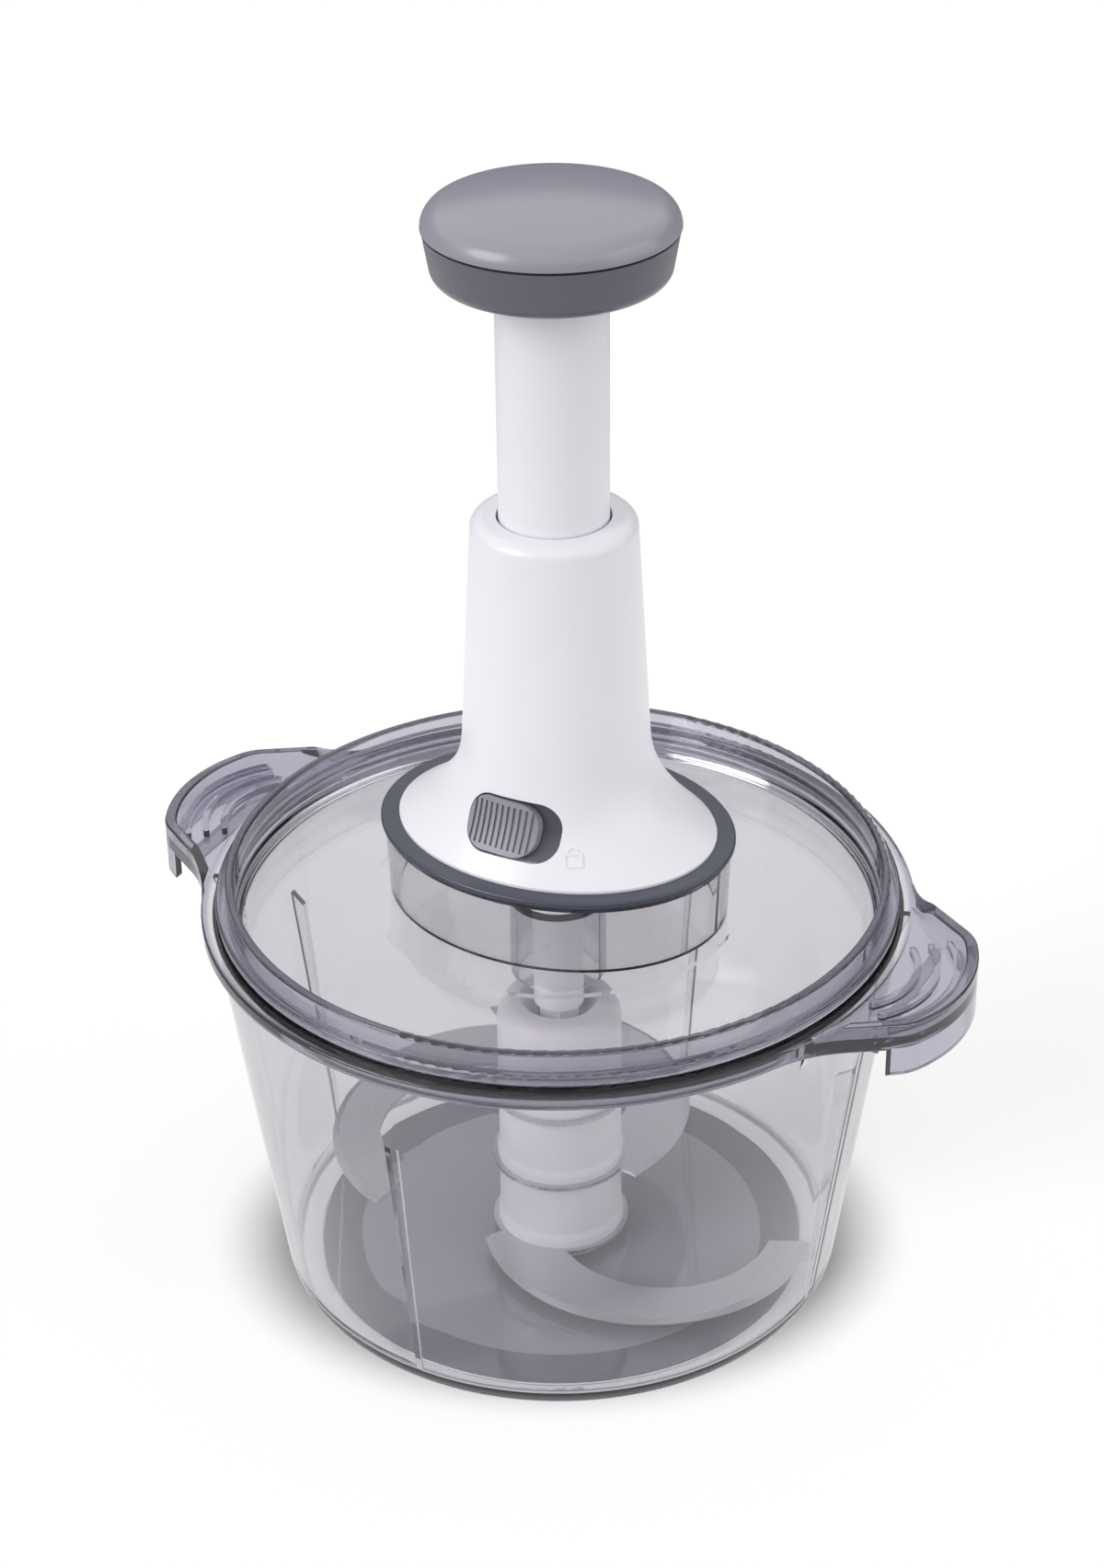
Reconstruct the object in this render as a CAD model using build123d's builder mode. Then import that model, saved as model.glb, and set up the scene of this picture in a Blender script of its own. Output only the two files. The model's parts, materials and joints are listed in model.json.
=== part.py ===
from build123d import *
import os
from math import cos, pi, radians, sin, sqrt, tan

os.makedirs("parts", exist_ok=True)

# A hand-press food chopper: a clear bowl with two handles, a clear lid, and a white press unit
# whose plunger drives three sickle blades through a twisted spindle.
# Millimetres. Z is up, the table is z = 0, the handles lie along X and the lock faces -Y.

# Shared gaps
overrun = 1.0          # how far a cut runs past the face that it opens
seat_gap = 0.1         # between pieces that rest on each other
loose_gap = 0.3        # round pieces that only need to clear
running_gap = 0.06     # radial gap of a turning or sliding fit
snug_gap = 0.03        # radial gap of a fit that is pressed or glued home

# Anti-slip base
pad_inset = 8.2        # from the edge of the bowl's foot in to the pad
pad_thickness = 1.6
pad_ring_width = 10.5
pad_relief = 0.6

# Bowl
foot_lift = 0.5        # the bowl's own foot stays this far above the table
bowl_foot_radius = 71.2
bowl_wall = 2.2
bowl_floor = 2.0
bowl_height = 106.0
bowl_foot_fillet = 5.0
bowl_floor_fillet = 4.0
flange_margin = 3.7    # flange outside the lid's lip
flange_thickness = 3.8
flange_round = 0.9

# Inner ribs of the bowl
rib_count = 4
rib_turn = -2.5        # degrees from the handle axis
rib_thickness = 1.6
rib_top_drop = 25.0    # from the bowl's top down to the ribs
rib_shoulder = 4.0
rib_reach = 3.2
rib_foot_reach = 0.6

# Handles
handle_reach = 108.0
handle_half_width = 21.1
handle_flank_angle = 32.6   # degrees between the handle's flank and its axis
handle_panel_depth = 0.9
handle_rise = 3.4      # of the handle's lip above the flange
handle_lip_round = 0.7
# Shares of the handle's overhang past the flange
ramp_share = 0.25
corner_setback_share = 0.32
corner_round_share = 0.6
blend_share = 1.7
lip_share = 0.15
recess_share = 0.035
skirt_start_share = 0.46
under_web_share = 0.24
skirt_depth = 6.6
skirt_wall = 2.2
under_web_length = 40.0
under_web_depth = 4.0
under_web_thickness = 1.6
grip_count = 3
grip_height = 1.9
grip_half_angle = 42.0
# Shares of the handle's overhang
grip_centre_share = 0.667
grip_first_share = 0.96
grip_pitch_share = 0.237
grip_width_share = 0.08
gusset_angle = 20.5
gusset_depth = 11.0
gusset_thickness = 2.0

# Pivot pin
pin_radius = 4.0
pin_head_radius = 8.0
pin_head_thickness = 1.3
pin_tip_round = 1.2

# Blade unit
hub_radius = 15.8
hub_flare = 0.5
hub_flare_height = 2.0
hub_core_radius = 9.0
hub_foot_inset = 0.6
hub_foot_thickness = 2.4
hub_segment_length = 19.4
hub_top_length = 24.9
hub_dome_height = 6.0
hub_dome_inset = 4.2
core_cap = 2.0
socket_web = 1.9       # between the core's top and the socket
blade_count = 3
blade_thickness = 1.0
blade_turn = 19.75     # degrees, the lowest blade's middle line
blade_ring_margin = 1.8
blade_wall_gap = 3.9
# Shares of the blade's reach
outer_radius_share = 0.653
inner_radius_share = 0.439
inner_offset_share = 0.408
tip_drop_share = 0.092
# Shares of the blade's ring radius
root_x_share = 1.04
root_y_share = 0.76
neck_x_share = 0.795
neck_y_share = 0.6
blade_bevel_width = 1.6
blade_edge_thickness = 0.3

# Drive coupling between the press unit and the blade unit
shaft_radius = 6.3
socket_depth = 10.5
socket_gap = 0.2
hex_across_flats = 10.0
hex_length = 10.0
socket_rim = 1.6       # flat rim between the socket's mouth and the dome
socket_mouth_depth = 4.0

# Lid
lid_rim_radius = 82.0
lid_plug_gap = 0.8     # between the foot of the lid's plug and the bowl's wall
lid_lip_width = 2.5
lid_lip_thickness = 2.9
lid_rim_height = 7.7
lid_wall = 2.3
lid_depth = 12.2
lid_panel = 2.2
lid_crown = 4.0        # rise of the panel from its edge to the collar
crown_margin = 2.0
lid_rim_round = 0.9
lid_inner_fillet = 3.0
lid_tube_gap = 3.9     # round the drive shaft
lid_tube_wall = 1.8
lid_tube_lift = 9.0    # above the hub
seal_height = 3.2
seal_groove_depth = 0.9
seal_above_floor = 1.2

# Oval collar on the lid and its ring
ring_half_length = 45.0
ring_half_width = 36.7
ring_width = 4.6
ring_height = 1.4
ring_round = 0.6
ring_overhang = 0.9
collar_height = 18.9
collar_draft = 0.8
collar_wall = 2.2
shelf_thickness = 2.4
shelf_overlap = 1.2    # of the shelf under the base plate

# Housing
base_rim_height = 1.9
flare_height = 25.5
flare_power_share = 2.4
column_taper = 3.1
column_top_wall = 2.4
column_top_round = 3.0
column_hole_gap = 0.6
column_cap = 4.2
housing_wall = 2.2
flare_steps = 8
inner_drop_share = 0.55
key_width = 3.0
key_gap = 0.3
boss_radius = 3.4
boss_x_share = 0.66
boss_y_share = 0.28

# Base plate, bearing and screws
plate_thickness = 2.2
spigot_depth = 4.6
spigot_wall = 2.0
snap_bead = 0.7
snap_bead_height = 1.5
bearing_flange_inset = 3.0
bearing_flange_thickness = 1.2
bearing_radius = 10.1
bearing_depth = 5.2
screw_radius = 1.45
screw_head_radius = 2.7
screw_head_thickness = 1.4
screw_length = 7.5

# Plunger
stroke = 53.0
press_gap = 1.2        # left under the tube at the end of the stroke
knob_press_gap = 5.5   # left between the knob and the housing there
tube_radius = 13.0
tube_wall = 2.0
stop_flange_width = 2.2
stop_flange_thickness = 2.2
stop_gap = 0.2
guide_wall = 4.2
guide_length = 19.8
ledge_thickness = 2.2
ledge_margin = 1.5
key_lug_width = 4.0
key_lug_depth = 0.9
web_thickness = 3.0

# Spindle, its driving plate and the return spring
spindle_width = 9.0
spindle_thickness = 2.4
spindle_lead = 36.0    # rise for one full turn
spindle_tail = 18.0
spindle_top_margin = 3.0
coupling_flange_gap = 0.8
coupling_flange_thickness = 1.5
cross_pin_radius = 1.0
cross_pin_drop = 10.0
drive_plate_thickness = 1.2
drive_slot_gap = 1.1
spring_cup_thickness = 2.0
spring_cup_gap = 1.5
spring_wire = 1.2
spring_side_gap = 0.8
spring_turns = 11

# Knob
knob_seam_radius = 29.2
cup_rim_step = 0.3
knob_taper = 2.3
knob_cup_height = 11.5
knob_cup_wall = 2.2
knob_cup_round = 3.5
knob_seam_gap = 0.7
knob_dome_height = 7.7
knob_dome_edge = 5.4
knob_cap_wall = 2.0
knob_spigot_depth = 2.4
knob_spigot_wall = 1.8
knob_screw_radius = 1.9
knob_screw_head_radius = 4.0
knob_screw_head_thickness = 2.2

# Lock slider
slot_turn = 1.8        # degrees off the front
slot_rise = 13.0       # above the foot of the housing
slot_tilt = 21.0       # degrees that the slot's face looks up
lock_travel = 11.0     # degrees
slider_width = 18.6
slider_height = 13.2
slider_corner = 5.4
slider_side_gap = 0.6
slider_end_gap = 0.45
slider_proud = 0.7
slider_thickness = 1.8
slider_groove_count = 11
slider_groove_width = 0.7
slider_groove_depth = 0.6
track_thickness = 1.4
track_margin = 2.0
stem_width = 5.0
stem_height = 5.0
stem_length = 6.6
lock_bar_thickness = 1.7
tongue_width = 2.2
tongue_thickness = 2.0
tongue_gap = 0.6
tongue_notch_gap = 0.5

# Radii that follow from what each piece fits
pad_radius = bowl_foot_radius - pad_inset
lid_lip_radius = lid_rim_radius + lid_lip_width
flange_radius = lid_lip_radius + flange_margin
handle_overhang = handle_reach - flange_radius
hub_foot_radius = hub_radius - hub_foot_inset
blade_ring_radius = hub_radius + blade_ring_margin
socket_mouth_radius = hub_radius - hub_dome_inset - socket_rim
lid_tube_radius = shaft_radius + lid_tube_gap + lid_tube_wall
base_half_length = ring_half_length - ring_width
base_half_width = ring_half_width - ring_width
boss_x = boss_x_share * base_half_length
boss_y = boss_y_share * base_half_width
tube_bore = tube_radius - tube_wall
column_hole_radius = tube_radius + column_hole_gap
stop_flange_radius = tube_radius + stop_flange_width
guide_radius = tube_radius + guide_wall
column_top_radius = guide_radius + column_top_wall
column_foot_radius = column_top_radius + column_taper
bearing_flange_radius = stop_flange_radius - bearing_flange_inset
drive_slot_width = spindle_thickness + drive_slot_gap
spring_cup_bore = spindle_width / 2 + spring_cup_gap
ledge_radius = spring_cup_bore + ledge_margin
spring_mean_radius = tube_bore - spring_side_gap - spring_wire / 2
coupling_flange_radius = spring_mean_radius - spring_wire / 2 - coupling_flange_gap
cup_rim_radius = knob_seam_radius - cup_rim_step
knob_foot_radius = knob_seam_radius - knob_taper

# Levels, from the table up
floor_bottom = pad_thickness
floor_top = floor_bottom + bowl_floor
flange_bottom = bowl_height - flange_thickness
hub_foot_z = floor_top + loose_gap
blade_pitch = hub_segment_length + blade_thickness
lower_blade_z = hub_foot_z + hub_foot_thickness
hub_upper_z = lower_blade_z + (blade_count - 1) * blade_pitch + blade_thickness
hub_top = hub_upper_z + hub_top_length
socket_floor = hub_top - socket_depth - loose_gap
core_top = socket_floor - socket_web
pin_length = core_top - core_cap - loose_gap - floor_bottom
rib_top_z = bowl_height - rib_top_drop
lid_seat = bowl_height + seat_gap
lid_rim_top = lid_seat + lid_rim_height
panel_edge_top = lid_rim_top - lid_depth
plug_bottom = panel_edge_top - lid_panel
panel_top = panel_edge_top + lid_crown
panel_bottom = panel_top - lid_panel
lid_tube_bottom = hub_top + lid_tube_lift
collar_top = panel_top + collar_height
housing_foot = collar_top + seat_gap
flare_foot = housing_foot + base_rim_height
flare_top = flare_foot + flare_height
slot_z = housing_foot + slot_rise
plate_top = housing_foot + plate_thickness
bearing_top = plate_top + bearing_flange_thickness
tube_bottom = bearing_top + press_gap + stroke
stop_top = tube_bottom + stop_flange_thickness
guide_bottom = stop_top + stop_gap
guide_top = guide_bottom + guide_length
column_top = guide_top + seat_gap + column_cap
column_height = column_top - flare_top
tube_top = column_top + stroke + knob_press_gap
web_top = tube_top - knob_spigot_depth / 2
web_bottom = web_top - web_thickness
spindle_top = web_bottom - stroke - loose_gap
drive_plate_top = spindle_top - spindle_top_margin
drive_plate_bottom = drive_plate_top - drive_plate_thickness
ledge_bottom = drive_plate_top + seat_gap
spring_top = drive_plate_bottom - spring_cup_thickness
coupling_top = bearing_top + seat_gap + coupling_flange_thickness
spindle_foot = coupling_top - spindle_tail
hex_bottom = socket_floor + loose_gap

# The bowl's wall leans from its foot out to the lid's plug
bowl_draft_share = (lid_rim_radius + lid_plug_gap + bowl_wall - bowl_foot_radius) / plug_bottom


def wall_radius(z):
    """Outer radius of the bowl's tapered wall at a height."""
    return bowl_foot_radius + bowl_draft_share * z


def cavity_radius(z):
    """Inner radius of the bowl at a height."""
    return wall_radius(z) - bowl_wall


def form_radii(z):
    """Half length and half width of the housing's oval at a height."""
    lean_share = (column_foot_radius - column_top_radius) / column_height
    column = column_foot_radius + (flare_top - z) * lean_share
    foot_column = column_foot_radius + flare_height * lean_share
    rise_share = min(max((z - flare_foot) / flare_height, 0), 1)
    flare_share = (1 - rise_share) ** flare_power_share
    half_length = column + (base_half_length - foot_column) * flare_share
    half_width = column + (base_half_width - foot_column) * flare_share
    return half_length, half_width


def housing_form(grow, drop, top, mode=Mode.ADD):
    """Loft the housing's flare and column, grown or shrunk all round and lowered a little."""
    flare_levels = [flare_foot + step * flare_height / flare_steps for step in range(flare_steps + 1)]
    for levels, straight in ((flare_levels, False), ((flare_top, top + drop), True)):
        ovals = []
        for level in levels:
            half_length, half_width = form_radii(level)
            with BuildSketch(Plane.XY.offset(level - drop)) as oval:
                Ellipse(half_length + grow, half_width + grow)
            ovals.append(oval.sketch.face())
        loft(ovals, ruled=straight, mode=mode)


# The housing's inner face, and the base plate that fits in it
inner_drop = inner_drop_share * housing_wall
plate_half_length, plate_half_width = [
    reach - housing_wall - seat_gap for reach in form_radii(plate_top + inner_drop)
]

# The lock's slot in the flare, from the slider that runs in it
stem_sweep = 2 * pi * form_radii(slot_z)[1] * lock_travel / 360
slot_width = slider_width + stem_sweep + 2 * slider_end_gap
slot_height = slider_height + 2 * slider_side_gap
slot_corner = slider_corner + slider_side_gap


def front_plane(turn):
    """Plane on the front of the flare, turned about Z, facing out and up."""
    reach = form_radii(slot_z)[1]
    spot = (reach * sin(radians(turn)), -reach * cos(radians(turn)), slot_z)
    across = (cos(radians(turn)), sin(radians(turn)), 0)
    level = cos(radians(slot_tilt))
    out = (sin(radians(turn)) * level, -cos(radians(turn)) * level, sin(radians(slot_tilt)))
    return Plane(origin=spot, x_dir=across, z_dir=out)


def upright_plane(turn):
    """Plane through the Z axis whose x runs outwards at an angle and whose y is up."""
    outward = (cos(radians(turn)), sin(radians(turn)), 0)
    return Plane(origin=(0, 0, 0), x_dir=outward, z_dir=(outward[1], -outward[0], 0))


def keep(builder, name):
    """Label a finished piece and write its STEP file."""
    builder.part.label = name
    export_step(builder.part, f"parts/{name}.step")


# Anti-slip base: a soft pad in the bowl's underside that stands on its outer ring
pad_hole = pin_head_radius + loose_gap
with BuildPart() as anti_slip_base:
    with BuildSketch() as pad_plan:
        Circle(pad_radius)
        Circle(pad_hole, mode=Mode.SUBTRACT)
    extrude(amount=pad_thickness)
    with BuildSketch() as pad_relief_plan:
        Circle(pad_radius - pad_ring_width)
    extrude(amount=pad_relief, mode=Mode.SUBTRACT)
keep(anti_slip_base, "anti_slip_base")

# Bowl rim: the flange and both handle plates as one outline
corner_x = handle_reach - corner_setback_share * handle_overhang
root_half_width = (flange_radius + handle_half_width) / 2
root_x = corner_x - (root_half_width - handle_half_width) / tan(radians(handle_flank_angle))
skirt_start_x = flange_radius + skirt_start_share * handle_overhang
handle_lip = lip_share * handle_overhang
with BuildPart() as bowl_rim:
    with BuildSketch(Plane.XY.offset(flange_bottom)) as rim_plan:
        for side in (1, -1):
            with BuildLine():
                Polyline(
                    (side * corner_x, handle_half_width),
                    (side * root_x, root_half_width),
                    (side * root_x, -root_half_width),
                    (side * corner_x, -handle_half_width),
                )
                ThreePointArc(
                    (side * corner_x, -handle_half_width),
                    (side * handle_reach, 0),
                    (side * corner_x, handle_half_width),
                )
            make_face()
        fillet(
            [v for v in rim_plan.vertices() if abs(v.X) > skirt_start_x],
            corner_round_share * handle_overhang,
        )
        Circle(flange_radius)
        fillet(
            [v for v in rim_plan.vertices() if abs(sqrt(v.X**2 + v.Y**2) - flange_radius) < snug_gap],
            blend_share * handle_overhang,
        )
    extrude(amount=flange_thickness)
    fillet(bowl_rim.faces().sort_by(Axis.Z)[-1].edges(), flange_round)
    fillet(bowl_rim.faces().sort_by(Axis.Z)[0].edges(), flange_round)
rim_face = rim_plan.sketch.faces()[0]

# Handle lips: a raised border round each handle plate that ramps up from the flange
lip_top = bowl_height + handle_rise
lip_slope_share = handle_rise / (ramp_share * handle_overhang)
with BuildPart() as handle_lips:
    with BuildSketch(Plane.XY.offset(bowl_height - flange_round)):
        add(rim_face.moved(Location((0, 0, flange_thickness - flange_round))))
        offset(amount=-handle_lip, mode=Mode.SUBTRACT)
        Circle(flange_radius, mode=Mode.SUBTRACT)
    extrude(amount=handle_rise + flange_round)
    fillet(handle_lips.edges().group_by(Axis.Z)[-1], handle_lip_round)
    with BuildSketch(Plane.XZ):
        with BuildLine():
            Polyline(
                (0, bowl_height),
                (flange_radius, bowl_height),
                (flange_radius + (handle_rise + overrun) / lip_slope_share, lip_top + overrun),
                (0, lip_top + overrun),
                close=True,
            )
        make_face()
    revolve(axis=Axis.Z, mode=Mode.SUBTRACT)

# Bowl: one moulding with the rim plate, skirts, grip ribs, gussets and inner ribs
recess_radius = flange_radius - recess_share * handle_overhang
under_web_x = flange_radius + under_web_share * handle_overhang
grip_centre_x = flange_radius - grip_centre_share * handle_overhang
with BuildPart() as bowl:
    with BuildSketch(Plane.XZ) as bowl_profile:
        with BuildLine():
            Polyline(
                (0, floor_bottom),
                (pad_radius + loose_gap, floor_bottom),
                (pad_radius + loose_gap, foot_lift),
                (wall_radius(foot_lift), foot_lift),
                (wall_radius(bowl_height), bowl_height),
                (0, bowl_height),
                close=True,
            )
        make_face()
        fillet(bowl_profile.vertices().group_by(Axis.X)[-2].sort_by(Axis.Y)[0], bowl_foot_fillet)
    revolve(axis=Axis.Z)
    add(bowl_rim.part)
    add(handle_lips.part)
    # Skirts hang from the outer ends of the handles
    with BuildSketch(Plane.XY.offset(flange_bottom + flange_round)) as skirt_plan:
        add(rim_face.moved(Location((0, 0, flange_round))))
        offset(amount=-skirt_wall, mode=Mode.SUBTRACT)
        Rectangle(2 * skirt_start_x, 2 * handle_reach, mode=Mode.SUBTRACT)
    extrude(amount=-(skirt_depth + flange_round))
    # Straight web under each handle plate
    with BuildSketch(Plane.XY.offset(flange_bottom + flange_round)):
        with Locations((under_web_x, 0), (-under_web_x, 0)):
            Rectangle(under_web_thickness, under_web_length)
    extrude(amount=-(under_web_depth + flange_round))
    # Gussets where the flange widens into a handle
    for turn in (gusset_angle, 180 - gusset_angle, 180 + gusset_angle, -gusset_angle):
        with BuildSketch(upright_plane(turn)):
            with BuildLine():
                Polyline(
                    (wall_radius(flange_bottom) - bowl_wall / 2, flange_bottom + flange_round),
                    (flange_radius - flange_round, flange_bottom + flange_round),
                    (wall_radius(flange_bottom - gusset_depth) - bowl_wall / 2, flange_bottom - gusset_depth),
                    close=True,
                )
            make_face()
        extrude(amount=gusset_thickness / 2, both=True)
    # Sunk panel in the top of each handle, with raised grip ribs
    panel_level = bowl_height - handle_panel_depth
    with BuildSketch(Plane.XY.offset(panel_level)) as panel_plan:
        add(rim_face.moved(Location((0, 0, panel_level - flange_bottom))))
        offset(amount=-handle_lip, mode=Mode.REPLACE)
        Circle(recess_radius, mode=Mode.SUBTRACT)
    extrude(amount=handle_panel_depth + overrun, mode=Mode.SUBTRACT)
    with BuildSketch(Plane.XY.offset(panel_level - flange_round)):
        for turn in (0, 180):
            for index in range(grip_count):
                centre = (grip_centre_x * cos(radians(turn)), grip_centre_x * sin(radians(turn)))
                arc = CenterArc(
                    centre,
                    (grip_first_share + index * grip_pitch_share) * handle_overhang,
                    turn - grip_half_angle,
                    2 * grip_half_angle,
                    mode=Mode.PRIVATE,
                )
                SlotArc(arc, grip_width_share * handle_overhang)
    extrude(amount=grip_height + flange_round)
    # The cavity
    with BuildSketch(Plane.XZ) as cavity_profile:
        with BuildLine():
            Polyline(
                (0, floor_top),
                (cavity_radius(floor_top), floor_top),
                (cavity_radius(bowl_height + overrun), bowl_height + overrun),
                (0, bowl_height + overrun),
                close=True,
            )
        make_face()
        fillet(cavity_profile.vertices().group_by(Axis.Y)[0].sort_by(Axis.X)[-1], bowl_floor_fillet)
    revolve(axis=Axis.Z, mode=Mode.SUBTRACT)
    # Inner ribs that stop the food from turning with the blades
    rib_shoulder_z = rib_top_z - rib_shoulder
    rib_foot_z = floor_bottom + bowl_floor / 2
    for index in range(rib_count):
        with BuildSketch(upright_plane(rib_turn + index * 360 / rib_count)):
            with BuildLine():
                Polyline(
                    (cavity_radius(rib_foot_z), rib_foot_z),
                    (cavity_radius(floor_top) - rib_foot_reach, rib_foot_z),
                    (cavity_radius(rib_shoulder_z) - rib_reach, rib_shoulder_z),
                    (cavity_radius(rib_top_z) + bowl_wall / 2, rib_top_z),
                    close=True,
                )
            make_face()
        extrude(amount=rib_thickness / 2, both=True)
    with Locations((0, 0, floor_bottom)):
        Hole(pin_radius + snug_gap)
keep(bowl, "bowl")

# Pivot pin: headed steel pin pushed up through the floor
with BuildPart() as pivot_pin:
    with BuildSketch(Plane.XY.offset(floor_bottom - pin_head_thickness)):
        Circle(pin_head_radius)
    extrude(amount=pin_head_thickness)
    with BuildSketch(Plane.XY.offset(floor_bottom)):
        Circle(pin_radius)
    extrude(amount=pin_length)
    fillet(pivot_pin.edges().sort_by(Axis.Z)[-1], pin_tip_round)
keep(pivot_pin, "pivot_pin")

# Hub core: the sleeve that runs on the pivot pin and carries the stack
with BuildPart() as hub_core:
    with BuildSketch(Plane.XY.offset(hub_foot_z)):
        Circle(hub_foot_radius)
    extrude(amount=hub_foot_thickness)
    with BuildSketch(Plane.XY.offset(hub_foot_z)):
        Circle(hub_core_radius)
    extrude(amount=core_top - hub_foot_z)
    with BuildSketch(Plane.XY.offset(hub_foot_z)):
        Circle(pin_radius + running_gap)
    extrude(amount=core_top - core_cap - hub_foot_z, mode=Mode.SUBTRACT)
keep(hub_core, "hub_core")


def hub_shell(foot, length):
    """Hub sleeve on the core, a little wider at its lower edge."""
    with BuildSketch(Plane.XZ) as shell_profile:
        with BuildLine():
            Polyline(
                (hub_core_radius + snug_gap, foot),
                (hub_radius + hub_flare, foot),
                (hub_radius + hub_flare, foot + hub_flare_height),
                (hub_radius, foot + 2 * hub_flare_height),
                (hub_radius, foot + length),
                (hub_core_radius + snug_gap, foot + length),
                close=True,
            )
        make_face()
    revolve(shell_profile.sketch, axis=Axis.Z)


# Hub sleeves between the blades
for index, hub_name in enumerate(("hub_lower", "hub_middle")):
    with BuildPart() as hub_sleeve:
        hub_shell(lower_blade_z + index * blade_pitch + blade_thickness, hub_segment_length)
    keep(hub_sleeve, hub_name)

# Upper hub: domed top with the hexagonal socket
with BuildPart() as hub_upper:
    hub_shell(hub_upper_z, hub_top_length - hub_dome_height)
    with BuildSketch(Plane.XZ):
        with BuildLine():
            shoulder = (hub_radius, hub_top - hub_dome_height)
            crown = (hub_radius - hub_dome_inset, hub_top)
            EllipticalCenterArc(
                (hub_radius - hub_dome_inset, hub_top - hub_dome_height),
                hub_dome_inset,
                hub_dome_height,
                start_angle=0,
                arc_size=90,
            )
            Polyline(crown, (0, hub_top), (0, hub_top - hub_dome_height), shoulder)
        make_face()
    revolve(axis=Axis.Z)
    with BuildSketch(Plane.XY.offset(core_top + seat_gap)):
        Circle(hub_radius - hub_flare)
    extrude(amount=hub_top - hub_dome_height - core_top - seat_gap)
    with BuildSketch(Plane.XY.offset(socket_floor)):
        RegularPolygon(hex_across_flats / 2 + socket_gap, 6, major_radius=False)
    extrude(amount=hub_top - socket_floor + overrun, mode=Mode.SUBTRACT)
    with BuildSketch(Plane.XZ):
        with BuildLine():
            Polyline(
                (0, hub_top),
                (socket_mouth_radius, hub_top),
                (shaft_radius + socket_gap, hub_top - socket_mouth_depth),
                (0, hub_top - socket_mouth_depth),
                close=True,
            )
        make_face()
    revolve(axis=Axis.Z, mode=Mode.SUBTRACT)
keep(hub_upper, "hub_upper")

# Blades: three equal sickles, a third of a turn apart, one above the other
blade_reach = cavity_radius(lower_blade_z) - blade_wall_gap
blade_outer_radius = outer_radius_share * blade_reach
blade_outer_offset = blade_reach - blade_outer_radius
bevel_slope_share = (blade_thickness - blade_edge_thickness) / blade_bevel_width
for index, blade_name in enumerate(("lower_blade", "middle_blade", "upper_blade")):
    level = lower_blade_z + index * blade_pitch
    turn = radians(blade_turn + index * 360 / blade_count)
    blade_plane = Plane(origin=(0, 0, level), x_dir=(cos(turn), sin(turn), 0), z_dir=(0, 0, 1))
    with BuildPart() as blade:
        with BuildSketch(blade_plane) as sickle:
            with Locations((blade_outer_offset, 0)):
                Circle(blade_outer_radius)
            with Locations((inner_offset_share * blade_reach, 0)):
                Circle(inner_radius_share * blade_reach, mode=Mode.SUBTRACT)
            with BuildLine():
                Polyline(
                    (blade_reach, -tip_drop_share * blade_reach),
                    (-neck_x_share * blade_ring_radius, -neck_y_share * blade_ring_radius),
                    (-root_x_share * blade_ring_radius, -root_y_share * blade_ring_radius),
                    (-blade_reach, -blade_reach),
                    (blade_reach, -blade_reach),
                    close=True,
                )
            make_face(mode=Mode.INTERSECT)
        extrude(amount=blade_thickness)
        # Ground bevel along the convex cutting edge
        edge_axis = Axis(blade_plane.from_local_coords((blade_outer_offset, 0, 0)), (0, 0, 1))
        with BuildSketch(Plane(origin=edge_axis.position, x_dir=blade_plane.x_dir, z_dir=-blade_plane.y_dir)):
            with BuildLine():
                Polyline(
                    (blade_outer_radius - blade_bevel_width, blade_thickness),
                    (blade_outer_radius + overrun, blade_thickness),
                    (blade_outer_radius + overrun, blade_edge_thickness - overrun * bevel_slope_share),
                    close=True,
                )
            make_face()
        revolve(axis=edge_axis, mode=Mode.SUBTRACT)
        with BuildSketch(blade_plane):
            Circle(blade_ring_radius)
        extrude(amount=blade_thickness)
        with BuildSketch(blade_plane):
            Circle(hub_core_radius + snug_gap)
        extrude(amount=blade_thickness, mode=Mode.SUBTRACT)
    keep(blade, blade_name)

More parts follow.
